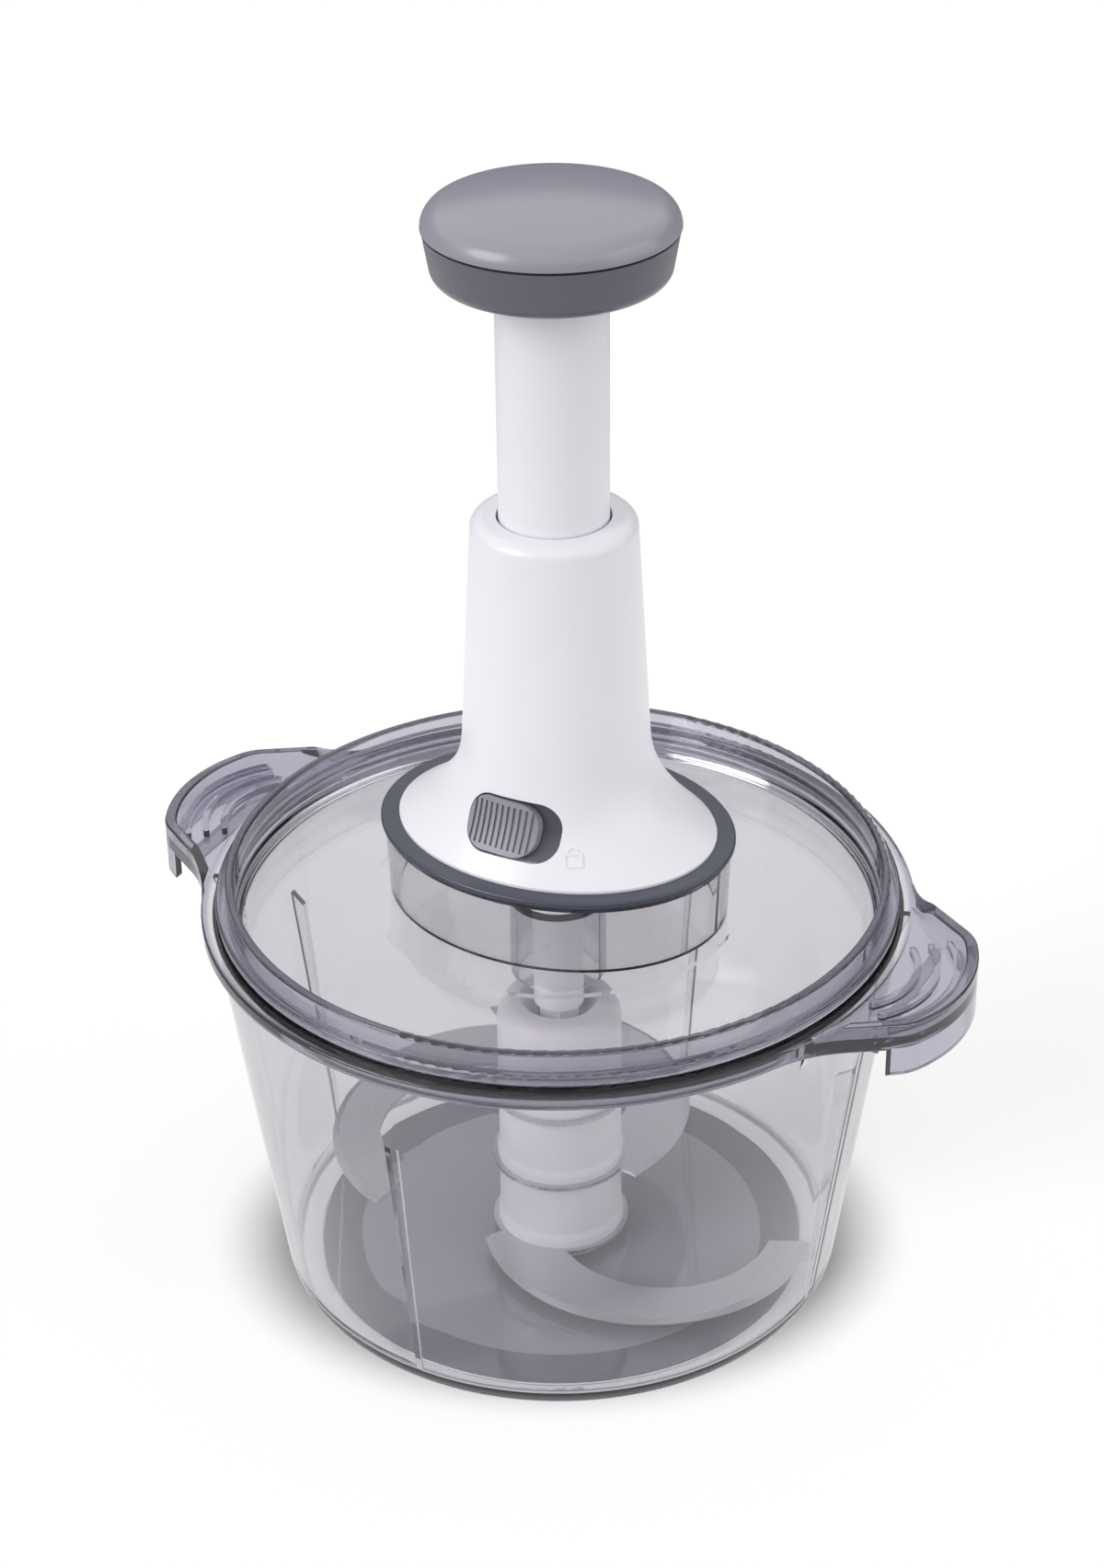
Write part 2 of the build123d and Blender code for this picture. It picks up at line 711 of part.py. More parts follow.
# Lid: a clear crowned dish that hangs in the bowl's mouth, with a centre tube and an oval collar
shelf_bottom = collar_top - shelf_thickness
collar_half_length = ring_half_length - ring_overhang
collar_half_width = ring_half_width - ring_overhang
shelf_half_length = plate_half_length - shelf_overlap
shelf_half_width = plate_half_width - shelf_overlap
crown_radius = collar_half_length + crown_margin
tube_inner = lid_tube_radius - lid_tube_wall
seal_z = plug_bottom + seal_above_floor
with BuildPart() as lid:
    with BuildSketch(Plane.XZ) as lid_profile:
        with BuildLine():
            Polyline(
                (tube_inner, lid_tube_bottom),
                (lid_tube_radius, lid_tube_bottom),
                (lid_tube_radius, panel_bottom),
                (crown_radius, panel_bottom),
                (lid_rim_radius - lid_wall, plug_bottom),
                (lid_rim_radius, plug_bottom),
                (lid_rim_radius, lid_seat),
                (lid_lip_radius, lid_seat),
                (lid_lip_radius, lid_seat + lid_lip_thickness),
                (lid_rim_radius, lid_seat + lid_lip_thickness),
                (lid_rim_radius, lid_rim_top),
                (lid_rim_radius - lid_wall, lid_rim_top),
                (lid_rim_radius - lid_wall, panel_edge_top),
                (crown_radius, panel_top),
                (tube_inner, panel_top),
                close=True,
            )
        make_face()
        fillet(lid_profile.vertices().group_by(Axis.Y)[-1], lid_rim_round)
        fillet(lid_profile.vertices().group_by(Axis.X)[-1], lid_rim_round)
        fillet(
            [v for v in lid_profile.vertices() if abs(v.Y - panel_edge_top) < snug_gap],
            lid_inner_fillet,
        )
    revolve(axis=Axis.Z)
    with BuildSketch(Plane.XZ):
        with Locations((lid_rim_radius, seal_z)):
            Rectangle(2 * seal_groove_depth, seal_height, align=(Align.CENTER, Align.MIN))
    revolve(axis=Axis.Z, mode=Mode.SUBTRACT)
    # Oval collar with an inner shelf that carries the press unit
    for trim, low, high, how in (
        (0, panel_bottom + lid_panel / 2, collar_top, Mode.ADD),
        (collar_wall, panel_top, shelf_bottom, Mode.SUBTRACT),
    ):
        for level in (low, high):
            lean = collar_draft * (collar_top - level) / collar_height
            with BuildSketch(Plane.XY.offset(level)):
                Ellipse(collar_half_length - lean - trim, collar_half_width - lean - trim)
        loft(ruled=True, mode=how)
    with BuildSketch(Plane.XY.offset(shelf_bottom)):
        Ellipse(shelf_half_length, shelf_half_width)
    extrude(amount=shelf_thickness + overrun, mode=Mode.SUBTRACT)
    with BuildSketch(Plane.XY.offset(panel_bottom)):
        Circle(tube_inner)
    extrude(amount=lid_panel + overrun, mode=Mode.SUBTRACT)
keep(lid, "lid")

# Lid seal: soft ring in the groove of the lid's plug, just short of the bowl's wall
seal_outer = cavity_radius(seal_z) - loose_gap
seal_inner = lid_rim_radius - seal_groove_depth + snug_gap
with BuildPart() as lid_seal:
    with BuildSketch(Plane.XZ) as seal_profile:
        with BuildLine():
            Polyline(
                (seal_inner, seal_z + snug_gap),
                (lid_rim_radius, seal_z + snug_gap),
                (seal_outer, seal_z + seal_height / 2),
                (lid_rim_radius, seal_z + seal_height - snug_gap),
                (seal_inner, seal_z + seal_height - snug_gap),
                close=True,
            )
        make_face()
    revolve(axis=Axis.Z)
keep(lid_seal, "lid_seal")

# Collar ring: the slate oval trim round the foot of the housing
with BuildPart() as collar_ring:
    with BuildSketch(Plane.XY.offset(collar_top)):
        Ellipse(ring_half_length, ring_half_width)
        Ellipse(base_half_length + seat_gap, base_half_width + seat_gap, mode=Mode.SUBTRACT)
    extrude(amount=ring_height)
    ring_tops = collar_ring.edges().group_by(Axis.Z)[-1]
    fillet(ring_tops.sort_by(SortBy.LENGTH)[-1], ring_round)
    ring_feet = collar_ring.edges().group_by(Axis.Z)[0]
    fillet(ring_feet.sort_by(SortBy.LENGTH)[-1], ring_round / 2)
keep(collar_ring, "collar_ring")

# Housing: white flared column with a slot for the lock and a bore for the plunger's guide
inner_foot = flare_foot - inner_drop
with BuildPart() as housing_solid:
    housing_form(0, 0, column_top)
    fillet(housing_solid.faces().sort_by(Axis.Z)[-1].edges(), column_top_round)
    with BuildSketch(Plane.XY.offset(housing_foot)):
        Ellipse(base_half_length, base_half_width)
    extrude(amount=base_rim_height)
with BuildPart() as housing_fittings:
    # Screw posts and the two keys that stop the plunger from turning
    with BuildSketch(Plane.XY.offset(plate_top + seat_gap)):
        with GridLocations(2 * boss_x, 2 * boss_y, 2, 2):
            Circle(boss_radius)
    extrude(amount=flare_height)
    key_inner = stop_flange_radius - key_lug_depth
    key_length = base_half_length - key_inner
    with BuildSketch(Plane.XY.offset(bearing_top + coupling_flange_thickness)):
        for side in (1, -1):
            with Locations((side * (key_inner + key_length / 2), 0)):
                Rectangle(key_length, key_width)
    extrude(amount=guide_bottom - bearing_top - coupling_flange_thickness)
    add(housing_solid.part, mode=Mode.INTERSECT)
with BuildPart() as housing:
    add(housing_solid.part)
    with BuildSketch(Plane.XY.offset(housing_foot)):
        Ellipse(base_half_length - housing_wall, base_half_width - housing_wall)
    extrude(amount=inner_foot - housing_foot, mode=Mode.SUBTRACT)
    housing_form(-housing_wall, inner_drop, guide_bottom, mode=Mode.SUBTRACT)
    with BuildSketch(Plane.XY.offset(guide_bottom)):
        Circle(guide_radius + snug_gap)
    extrude(amount=guide_top - guide_bottom + seat_gap, mode=Mode.SUBTRACT)
    with BuildSketch(Plane.XY.offset(guide_top)):
        Circle(column_hole_radius)
    extrude(amount=column_cap + overrun + seat_gap, mode=Mode.SUBTRACT)
    add(housing_fittings.part)
    with BuildSketch(Plane.XY.offset(plate_top)):
        with GridLocations(2 * boss_x, 2 * boss_y, 2, 2):
            Circle(screw_radius + snug_gap)
    extrude(amount=screw_length, mode=Mode.SUBTRACT)
    with BuildSketch(front_plane(slot_turn).offset(-slot_height / 2)):
        RectangleRounded(slot_width, slot_height, slot_corner)
    extrude(amount=slot_height, mode=Mode.SUBTRACT)
keep(housing, "housing")

# Guide sleeve: the plain bearing that the plunger slides in
with BuildPart() as guide_sleeve:
    with BuildSketch(Plane.XY.offset(guide_bottom)):
        Circle(guide_radius)
        Circle(tube_radius + running_gap, mode=Mode.SUBTRACT)
    extrude(amount=guide_length)
keep(guide_sleeve, "guide_sleeve")

# Base plate: closes the housing from below and snaps into the collar's shelf
spigot_half_length = shelf_half_length - loose_gap
spigot_half_width = shelf_half_width - loose_gap
with BuildPart() as base_plate:
    with BuildSketch(Plane.XY.offset(housing_foot)):
        Ellipse(plate_half_length, plate_half_width)
    extrude(amount=plate_thickness)
    with BuildSketch(Plane.XY.offset(housing_foot)):
        Ellipse(spigot_half_length, spigot_half_width)
        Ellipse(spigot_half_length - spigot_wall, spigot_half_width - spigot_wall, mode=Mode.SUBTRACT)
    extrude(amount=-spigot_depth)
    bead_top = shelf_bottom - loose_gap
    with BuildSketch(Plane.XY.offset(bead_top)):
        Ellipse(spigot_half_length + snap_bead, spigot_half_width + snap_bead)
        Ellipse(spigot_half_length - spigot_wall / 2, spigot_half_width - spigot_wall / 2, mode=Mode.SUBTRACT)
    extrude(amount=-snap_bead_height)
    with BuildSketch(Plane.XY.offset(housing_foot)):
        Circle(bearing_radius + snug_gap)
        with GridLocations(2 * boss_x, 2 * boss_y, 2, 2):
            Circle(screw_radius + loose_gap)
    extrude(amount=plate_thickness, mode=Mode.SUBTRACT)
    with BuildSketch(Plane.XY.offset(housing_foot)):
        with GridLocations(2 * boss_x, 2 * boss_y, 2, 2):
            Circle(screw_head_radius + loose_gap)
    extrude(amount=screw_head_thickness + seat_gap, mode=Mode.SUBTRACT)
keep(base_plate, "base_plate")

# Base screws: four self-tapping screws from below into the housing's posts
screw_head_z = housing_foot + seat_gap
with BuildPart() as base_screws:
    with BuildSketch(Plane.XY.offset(screw_head_z)):
        with GridLocations(2 * boss_x, 2 * boss_y, 2, 2):
            Circle(screw_head_radius)
    extrude(amount=screw_head_thickness)
    with BuildSketch(Plane.XY.offset(screw_head_z)):
        with GridLocations(2 * boss_x, 2 * boss_y, 2, 2):
            Circle(screw_radius)
    extrude(amount=screw_length)
keep(base_screws, "base_screws")

# Drive bearing: flanged bush for the drive coupling, and the spring's lower seat
with BuildPart() as drive_bearing:
    with BuildSketch(Plane.XY.offset(plate_top)):
        Circle(bearing_flange_radius)
    extrude(amount=bearing_flange_thickness)
    with BuildSketch(Plane.XY.offset(plate_top)):
        Circle(bearing_radius)
    extrude(amount=-bearing_depth)
    with BuildSketch(Plane.XY.offset(plate_top - bearing_depth)):
        Circle(shaft_radius + running_gap)
    extrude(amount=bearing_depth + bearing_flange_thickness, mode=Mode.SUBTRACT)
keep(drive_bearing, "drive_bearing")

# Drive coupling: white shaft with a thrust flange on top and a hexagonal nose
cross_pin_z = bearing_top - cross_pin_drop
with BuildPart() as drive_coupling:
    with BuildSketch(Plane.XY.offset(hex_bottom)):
        RegularPolygon(hex_across_flats / 2, 6, major_radius=False)
    extrude(amount=hex_length)
    with BuildSketch(Plane.XY.offset(hex_bottom + hex_length)):
        Circle(shaft_radius)
    extrude(amount=bearing_top + seat_gap - hex_bottom - hex_length)
    with BuildSketch(Plane.XY.offset(bearing_top + seat_gap)):
        Circle(coupling_flange_radius)
    extrude(amount=coupling_flange_thickness)
    with BuildSketch(Plane.XY.offset(spindle_foot)):
        Rectangle(spindle_width + 2 * snug_gap, spindle_thickness + 2 * snug_gap)
    extrude(amount=spindle_tail, mode=Mode.SUBTRACT)
    with BuildSketch(Plane.XZ.offset(-shaft_radius)):
        with Locations((0, cross_pin_z)):
            Circle(cross_pin_radius + snug_gap)
    extrude(amount=2 * shaft_radius, mode=Mode.SUBTRACT)
keep(drive_coupling, "drive_coupling")

# Drive spindle: flat steel bar with a straight tail, twisted left-handed above it
twist_length = spindle_top - coupling_top
twist_steps = 8
twist_rise = twist_length / twist_steps
twist_angle = -360 * twist_rise / spindle_lead
with BuildPart() as drive_spindle:
    with BuildSketch(Plane.XY.offset(spindle_foot)):
        Rectangle(spindle_width, spindle_thickness)
    extrude(amount=spindle_tail)
    for step in range(twist_steps):
        foot = coupling_top + step * twist_rise
        face_plane = Plane.XY.offset(foot).rotated((0, 0, step * twist_angle))
        with BuildSketch(face_plane, mode=Mode.PRIVATE) as section:
            Rectangle(spindle_width, spindle_thickness)
        add(
            Solid.extrude_linear_with_rotation(
                section.sketch.face(), center=(0, 0, foot), normal=(0, 0, twist_rise), angle=twist_angle
            )
        )
    with BuildSketch(Plane.XZ.offset(-spindle_thickness)):
        with Locations((0, cross_pin_z)):
            Circle(cross_pin_radius + snug_gap)
    extrude(amount=2 * spindle_thickness, mode=Mode.SUBTRACT)
keep(drive_spindle, "drive_spindle")

# Cross pin that ties the spindle to the coupling
with BuildPart() as spindle_pin:
    with BuildSketch(Plane.XZ.offset(-shaft_radius + loose_gap)):
        with Locations((0, cross_pin_z)):
            Circle(cross_pin_radius)
    extrude(amount=2 * (shaft_radius - loose_gap))
keep(spindle_pin, "spindle_pin")

# Drive plate: stamped nut that rides on the twist, keyed into the plunger tube
plate_twist = -360 * ((drive_plate_top + drive_plate_bottom) / 2 - coupling_top) / spindle_lead
with BuildPart() as drive_plate:
    with BuildSketch(Plane.XY.offset(drive_plate_bottom)):
        Circle(tube_bore - snug_gap)
        Rectangle(2 * (tube_bore + key_lug_depth - 2 * snug_gap), key_lug_width)
        with Locations(Location((0, 0), plate_twist)):
            SlotOverall(spindle_width + 2 * loose_gap + drive_slot_width / 2, drive_slot_width, mode=Mode.SUBTRACT)
    extrude(amount=drive_plate_thickness)
keep(drive_plate, "drive_plate")

# Spring cup: the return spring's upper seat, under the drive plate
with BuildPart() as spring_cup:
    with BuildSketch(Plane.XY.offset(spring_top)):
        Circle(tube_bore - loose_gap)
        Circle(spring_cup_bore, mode=Mode.SUBTRACT)
    extrude(amount=spring_cup_thickness)
keep(spring_cup, "spring_cup")

# Return spring: one unbroken wire, a helix of quarter turns, each as two tangent arcs
spring_rise = (spring_top - bearing_top - spring_wire - 2 * seat_gap) / spring_turns
spring_foot = bearing_top + seat_gap + spring_wire / 2


def spring_point(turns):
    """Point on the wire's middle line after a number of turns."""
    angle = 2 * pi * turns
    return Vector(
        spring_mean_radius * cos(angle), spring_mean_radius * sin(angle), spring_foot + spring_rise * turns
    )


def spring_tangent(turns):
    """Direction of the wire after a number of turns."""
    angle = 2 * pi * turns
    around = 2 * pi * spring_mean_radius
    return Vector(-around * sin(angle), around * cos(angle), spring_rise).normalized()


def biarc_joint(start, end, start_dir, end_dir):
    """Point where two tangent arcs between two points of the wire meet."""
    span = end - start
    across = start_dir + end_dir
    weight = 2 * (1 - start_dir.dot(end_dir))
    reach = span.dot(across)
    handle = (-reach + sqrt(reach**2 + weight * span.dot(span))) / weight
    return (start + start_dir * handle + end - end_dir * handle) * 0.5, handle


with BuildPart() as return_spring:
    with BuildLine() as spring_path:
        for quarter in range(4 * spring_turns):
            start = spring_point(quarter / 4)
            end = spring_point((quarter + 1) / 4)
            start_dir = spring_tangent(quarter / 4)
            end_dir = spring_tangent((quarter + 1) / 4)
            middle, handle = biarc_joint(start, end, start_dir, end_dir)
            middle_dir = (end - end_dir * handle - start - start_dir * handle).normalized()
            TangentArc(start, middle, tangent=start_dir)
            TangentArc(middle, end, tangent=middle_dir)
    with BuildSketch(Plane(origin=spring_point(0), x_dir=(1, 0, 0), z_dir=spring_tangent(0))):
        Circle(spring_wire / 2)
    sweep()
keep(return_spring, "return_spring")
print("return spring, least gap between turns", round(spring_rise - spring_wire, 2))

# Plunger tube: white tube with a stop flange, an inner ledge and a closed top
tongue_reach = tube_radius + tongue_gap
tongue_turn = slot_turn - lock_travel / 2
with BuildPart() as plunger_tube:
    with BuildSketch(Plane.XY.offset(tube_bottom)):
        Circle(tube_radius)
        Circle(tube_bore, mode=Mode.SUBTRACT)
    extrude(amount=tube_top - tube_bottom)
    with BuildSketch(Plane.XY.offset(tube_bottom)):
        Circle(stop_flange_radius)
        Circle(tube_bore, mode=Mode.SUBTRACT)
        for side in (1, -1):
            with Locations((side * stop_flange_radius, 0)):
                Rectangle(2 * (key_lug_depth + key_gap), key_width + 2 * key_gap, mode=Mode.SUBTRACT)
        # Notch that passes the lock's tongue while the lock is open
        tongue_spot = (
            stop_flange_radius * sin(radians(tongue_turn)),
            -stop_flange_radius * cos(radians(tongue_turn)),
        )
        with Locations(Location(tongue_spot, tongue_turn)):
            notch_depth = 2 * (stop_flange_radius - tube_radius)
            Rectangle(tongue_width + 2 * tongue_notch_gap, notch_depth, mode=Mode.SUBTRACT)
    extrude(amount=stop_flange_thickness)
    with BuildSketch(Plane.XY.offset(ledge_bottom)):
        Circle(tube_radius - tube_wall / 2)
        Circle(ledge_radius, mode=Mode.SUBTRACT)
    extrude(amount=ledge_thickness)
    with BuildSketch(Plane.XY.offset(web_bottom)):
        Circle(tube_radius - tube_wall / 2)
        Circle(knob_screw_radius + snug_gap, mode=Mode.SUBTRACT)
    extrude(amount=web_thickness)
    with BuildSketch(Plane.XY.offset(tube_bottom)):
        Rectangle(2 * (tube_bore + key_lug_depth), key_lug_width + 2 * snug_gap)
        Circle(tube_bore - overrun, mode=Mode.SUBTRACT)
    extrude(amount=ledge_bottom - tube_bottom, mode=Mode.SUBTRACT)
keep(plunger_tube, "plunger_tube")

knob_seam = tube_top + knob_cup_height


def cup_inner(z):
    """Inner radius of the knob's tapered cup at a height."""
    rise_share = (z - tube_top) / knob_cup_height
    return knob_foot_radius + (cup_rim_radius - knob_foot_radius) * rise_share - knob_cup_wall


# Knob cup: the darker lower half of the knob, screwed to the tube
with BuildPart() as knob_cup:
    with BuildSketch(Plane.XZ) as cup_profile:
        with BuildLine():
            Polyline(
                (0, tube_top),
                (knob_foot_radius, tube_top),
                (cup_rim_radius, knob_seam),
                (0, knob_seam),
                close=True,
            )
        make_face()
        fillet(cup_profile.vertices().group_by(Axis.Y)[0].sort_by(Axis.X)[-1], knob_cup_round)
    revolve(axis=Axis.Z)
    with BuildSketch(Plane.XZ) as cup_cavity:
        with BuildLine():
            Polyline(
                (0, tube_top + knob_cup_wall),
                (cup_inner(tube_top + knob_cup_wall), tube_top + knob_cup_wall),
                (cup_inner(knob_seam + overrun), knob_seam + overrun),
                (0, knob_seam + overrun),
                close=True,
            )
        make_face()
        fillet(cup_cavity.vertices().group_by(Axis.Y)[0].sort_by(Axis.X)[-1], knob_cup_round / 2)
    revolve(axis=Axis.Z, mode=Mode.SUBTRACT)
    with BuildSketch(Plane.XY.offset(web_top)):
        Circle(tube_bore - snug_gap)
    extrude(amount=tube_top - web_top)
    with BuildSketch(Plane.XY.offset(web_top)):
        Circle(knob_screw_radius + loose_gap)
    extrude(amount=tube_top + knob_cup_wall - web_top, mode=Mode.SUBTRACT)
keep(knob_cup, "knob_cup")

# Knob cap: the domed upper half, snapped into the cup
cap_foot = knob_seam + knob_seam_gap
cap_spigot_foot = knob_seam - knob_spigot_depth
cap_spigot_radius = cup_inner(cap_spigot_foot) - loose_gap
spigot_bore = cap_spigot_radius - knob_spigot_wall
edge_centre = knob_seam_radius - knob_dome_edge
dome_radius = (edge_centre**2 + knob_dome_height**2 - knob_dome_edge**2) / (
    2 * (knob_dome_height - knob_dome_edge)
)
dome_end = edge_centre * dome_radius / (dome_radius - knob_dome_edge)


def dome_point(reach, depth):
    """Point of the knob's dome at a distance from the axis, or of its inner face."""
    drop = dome_radius - sqrt((dome_radius - depth) ** 2 - reach**2)
    return (reach, cap_foot + knob_dome_height - drop)


with BuildPart() as knob_cap:
    with BuildSketch(Plane.XZ):
        with BuildLine():
            TangentArc((knob_seam_radius, cap_foot), dome_point(dome_end, 0), tangent=(0, 1))
            ThreePointArc(dome_point(dome_end, 0), dome_point(dome_end / 2, 0), dome_point(0, 0))
            Line(dome_point(0, 0), dome_point(0, knob_cap_wall))
            ThreePointArc(
                dome_point(0, knob_cap_wall),
                dome_point(spigot_bore / 2, knob_cap_wall),
                dome_point(spigot_bore, knob_cap_wall),
            )
            Polyline(
                dome_point(spigot_bore, knob_cap_wall),
                (spigot_bore, cap_spigot_foot),
                (cap_spigot_radius, cap_spigot_foot),
                (cap_spigot_radius, cap_foot),
                (knob_seam_radius, cap_foot),
            )
        make_face()
    revolve(axis=Axis.Z)
keep(knob_cap, "knob_cap")

# Knob screw
screw_seat = tube_top + knob_cup_wall
with BuildPart() as knob_screw:
    with BuildSketch(Plane.XY.offset(screw_seat + snug_gap)):
        Circle(knob_screw_head_radius)
    extrude(amount=knob_screw_head_thickness)
    with BuildSketch(Plane.XY.offset(web_bottom)):
        Circle(knob_screw_radius)
    extrude(amount=screw_seat + snug_gap - web_bottom)
keep(knob_screw, "knob_screw")

# Lock track: curved plate behind the slot that the slider runs over
track_gap = housing_wall + seat_gap
with BuildPart() as lock_track:
    with BuildSketch(front_plane(slot_turn).offset(-slot_height)):
        RectangleRounded(slot_width + track_margin, slot_height + track_margin, slot_corner)
    extrude(amount=2 * slot_height)
    with BuildPart(mode=Mode.PRIVATE) as track_outer:
        housing_form(-track_gap, inner_drop, guide_bottom)
    add(track_outer.part, mode=Mode.INTERSECT)
    housing_form(-track_gap - track_thickness, inner_drop, guide_bottom, mode=Mode.SUBTRACT)
    with BuildSketch(front_plane(slot_turn).offset(-slot_height)):
        RectangleRounded(stem_width + stem_sweep + 2 * overrun, stem_height + 2 * overrun, stem_height / 2)
    extrude(amount=2 * slot_height, mode=Mode.SUBTRACT)
keep(lock_track, "lock_track")

# Lock slider: ribbed thumb button that slides round the flare
slider_plane = front_plane(slot_turn - lock_travel / 2)
with BuildPart() as slider_top:
    housing_form(slider_proud, 0, guide_bottom)
with BuildPart() as groove_floor:
    housing_form(slider_proud - slider_groove_depth, 0, guide_bottom)
with BuildPart() as slider_grooves:
    with BuildSketch(slider_plane.offset(-slot_height / 2)):
        with GridLocations(slider_width / (slider_groove_count + 1), 0, slider_groove_count, 1):
            Rectangle(slider_groove_width, slider_height - slider_corner / 2)
    extrude(amount=slot_height)
    add(groove_floor.part, mode=Mode.SUBTRACT)
with BuildPart() as lock_slider:
    with BuildSketch(slider_plane.offset(-slot_height / 2)):
        RectangleRounded(slider_width, slider_height, slider_corner)
    extrude(amount=slot_height)
    add(slider_top.part, mode=Mode.INTERSECT)
    housing_form(-slider_thickness, 0, guide_bottom, mode=Mode.SUBTRACT)
    add(slider_grooves.part, mode=Mode.SUBTRACT)
    with BuildSketch(slider_plane.offset(-stem_length)):
        Rectangle(stem_width, stem_height)
    extrude(amount=stem_length - slider_thickness / 2)
keep(lock_slider, "lock_slider")

# Lock bar: post behind the slider with a tongue that reaches over the plunger's flange
tongue_z = tube_bottom - stroke + stop_flange_thickness + tongue_gap
stem_end = slider_plane.offset(-stem_length)
bar_reach = sqrt(stem_end.origin.X**2 + stem_end.origin.Y**2)
bar_plane = Plane(
    origin=(0, 0, tongue_z),
    x_dir=(cos(radians(tongue_turn)), sin(radians(tongue_turn)), 0),
    z_dir=(0, 0, 1),
)
with BuildPart() as lock_bar:
    with BuildSketch(bar_plane):
        with Locations((0, -tongue_reach)):
            Rectangle(tongue_width, bar_reach - tongue_reach, align=(Align.CENTER, Align.MAX))
    extrude(amount=tongue_thickness)
    with BuildSketch(bar_plane):
        with Locations((0, -bar_reach)):
            Rectangle(stem_width, 2 * lock_bar_thickness, align=(Align.CENTER, Align.MIN))
    extrude(amount=slot_z + stem_height / 2 - tongue_z)
    split(bisect_by=stem_end, keep=Keep.BOTTOM)
keep(lock_bar, "lock_bar")
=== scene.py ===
# %% [markdown]
# # A hand-press food chopper
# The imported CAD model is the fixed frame: every solid is already at its real size and place, in
# metres. This notebook gives each piece its finish, models the soft and small pieces that the solids
# keep plain, and sets up a quiet studio with the camera where the photograph was taken from.

# %% Load the frame
import json
from math import cos, pi, radians, sin

import bpy
from mathutils import Matrix, Vector


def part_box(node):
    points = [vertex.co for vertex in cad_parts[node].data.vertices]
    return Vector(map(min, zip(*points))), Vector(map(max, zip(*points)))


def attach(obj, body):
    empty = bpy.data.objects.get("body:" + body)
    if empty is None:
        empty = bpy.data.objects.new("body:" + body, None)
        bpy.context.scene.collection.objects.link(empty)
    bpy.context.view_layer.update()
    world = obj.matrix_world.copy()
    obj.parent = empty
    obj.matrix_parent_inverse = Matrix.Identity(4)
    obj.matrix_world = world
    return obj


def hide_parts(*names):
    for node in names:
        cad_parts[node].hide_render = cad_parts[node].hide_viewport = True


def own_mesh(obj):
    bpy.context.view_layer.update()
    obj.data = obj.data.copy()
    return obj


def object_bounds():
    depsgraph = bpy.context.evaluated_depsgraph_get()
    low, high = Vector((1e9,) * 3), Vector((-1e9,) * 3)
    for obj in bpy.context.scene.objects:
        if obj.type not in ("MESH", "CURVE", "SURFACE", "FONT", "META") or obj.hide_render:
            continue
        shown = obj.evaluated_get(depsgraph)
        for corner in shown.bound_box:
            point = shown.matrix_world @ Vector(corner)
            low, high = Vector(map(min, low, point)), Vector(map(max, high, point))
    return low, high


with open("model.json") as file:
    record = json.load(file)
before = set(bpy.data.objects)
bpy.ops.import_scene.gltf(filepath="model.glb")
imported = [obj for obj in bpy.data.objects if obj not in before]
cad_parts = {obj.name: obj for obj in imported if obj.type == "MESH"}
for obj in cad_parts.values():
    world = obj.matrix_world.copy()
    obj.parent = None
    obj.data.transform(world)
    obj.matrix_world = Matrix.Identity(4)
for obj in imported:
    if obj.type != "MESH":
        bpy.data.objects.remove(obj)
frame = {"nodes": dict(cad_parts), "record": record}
cad_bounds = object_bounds()
nodes = frame["nodes"]
MM = 0.001
print("nodes", len(nodes), "box", cad_bounds)

# %% [markdown]
# ## Camera
# The photograph looks down at the chopper from the front right. Its long lens keeps the upright tube
# nearly parallel, so the camera stands well back. The view was worked out from the round rims and the
# handles. The camera's matrix is put together from three directions, right, up and ahead, because
# these are easier to follow than three turning angles.

# %% Camera
VIEW_AZIMUTH = radians(27.5)
VIEW_ELEVATION = radians(30.42)
VIEW_ROLL = radians(-0.64)
VIEW_DISTANCE = 796.5 * MM
VIEW_TARGET_RIGHT = -1.17 * MM
VIEW_TARGET_HEIGHT = 136.15 * MM
LENS_MM = 75.27
SENSOR_MM = 36.0

view_right = Vector((cos(VIEW_AZIMUTH), sin(VIEW_AZIMUTH), 0))
view_level = Vector((-sin(VIEW_AZIMUTH), cos(VIEW_AZIMUTH), 0))
view_ahead = view_level * cos(VIEW_ELEVATION) - Vector((0, 0, sin(VIEW_ELEVATION)))
view_up = view_right.cross(view_ahead)
rolled_right = view_right * cos(VIEW_ROLL) + view_up * sin(VIEW_ROLL)
rolled_up = view_up * cos(VIEW_ROLL) - view_right * sin(VIEW_ROLL)
view_target = view_right * VIEW_TARGET_RIGHT + Vector((0, 0, VIEW_TARGET_HEIGHT))
view_eye = view_target - view_ahead * VIEW_DISTANCE

camera_data = bpy.data.cameras.new("photo_camera")
camera_data.lens = LENS_MM
camera_data.sensor_width = SENSOR_MM
camera = bpy.data.objects.new("photo_camera", camera_data)
bpy.context.scene.collection.objects.link(camera)
view_turn = Matrix((rolled_right, rolled_up, -view_ahead)).transposed()
camera.matrix_world = Matrix.Translation(view_eye) @ view_turn.to_4x4()
bpy.context.scene.camera = camera
print("camera at", [round(v, 4) for v in view_eye])

# %% [markdown]
# ## Lamps
# One broad lamp on the left models the round forms, and a weaker one on the right lifts their far side.
# Area lamps would do, but their light falls off across the object. A sun lamp is even everywhere, and
# its angle sets how soft the shading is, as the size of a soft box does in a studio.

# %% Lamps
KEY_LIGHT = 0.44
KEY_SPREAD = radians(36)
KEY_AZIMUTH = radians(-62)
KEY_HEIGHT = radians(28)
FILL_LIGHT = 0.28
FILL_SPREAD = radians(60)
FILL_AZIMUTH = radians(75)
FILL_HEIGHT = radians(10)


def lamp_direction(azimuth, height):
    """Unit vector towards a lamp, from its angle beside the camera and its height."""
    side = VIEW_AZIMUTH + azimuth
    return Vector((sin(side) * cos(height), -cos(side) * cos(height), sin(height)))


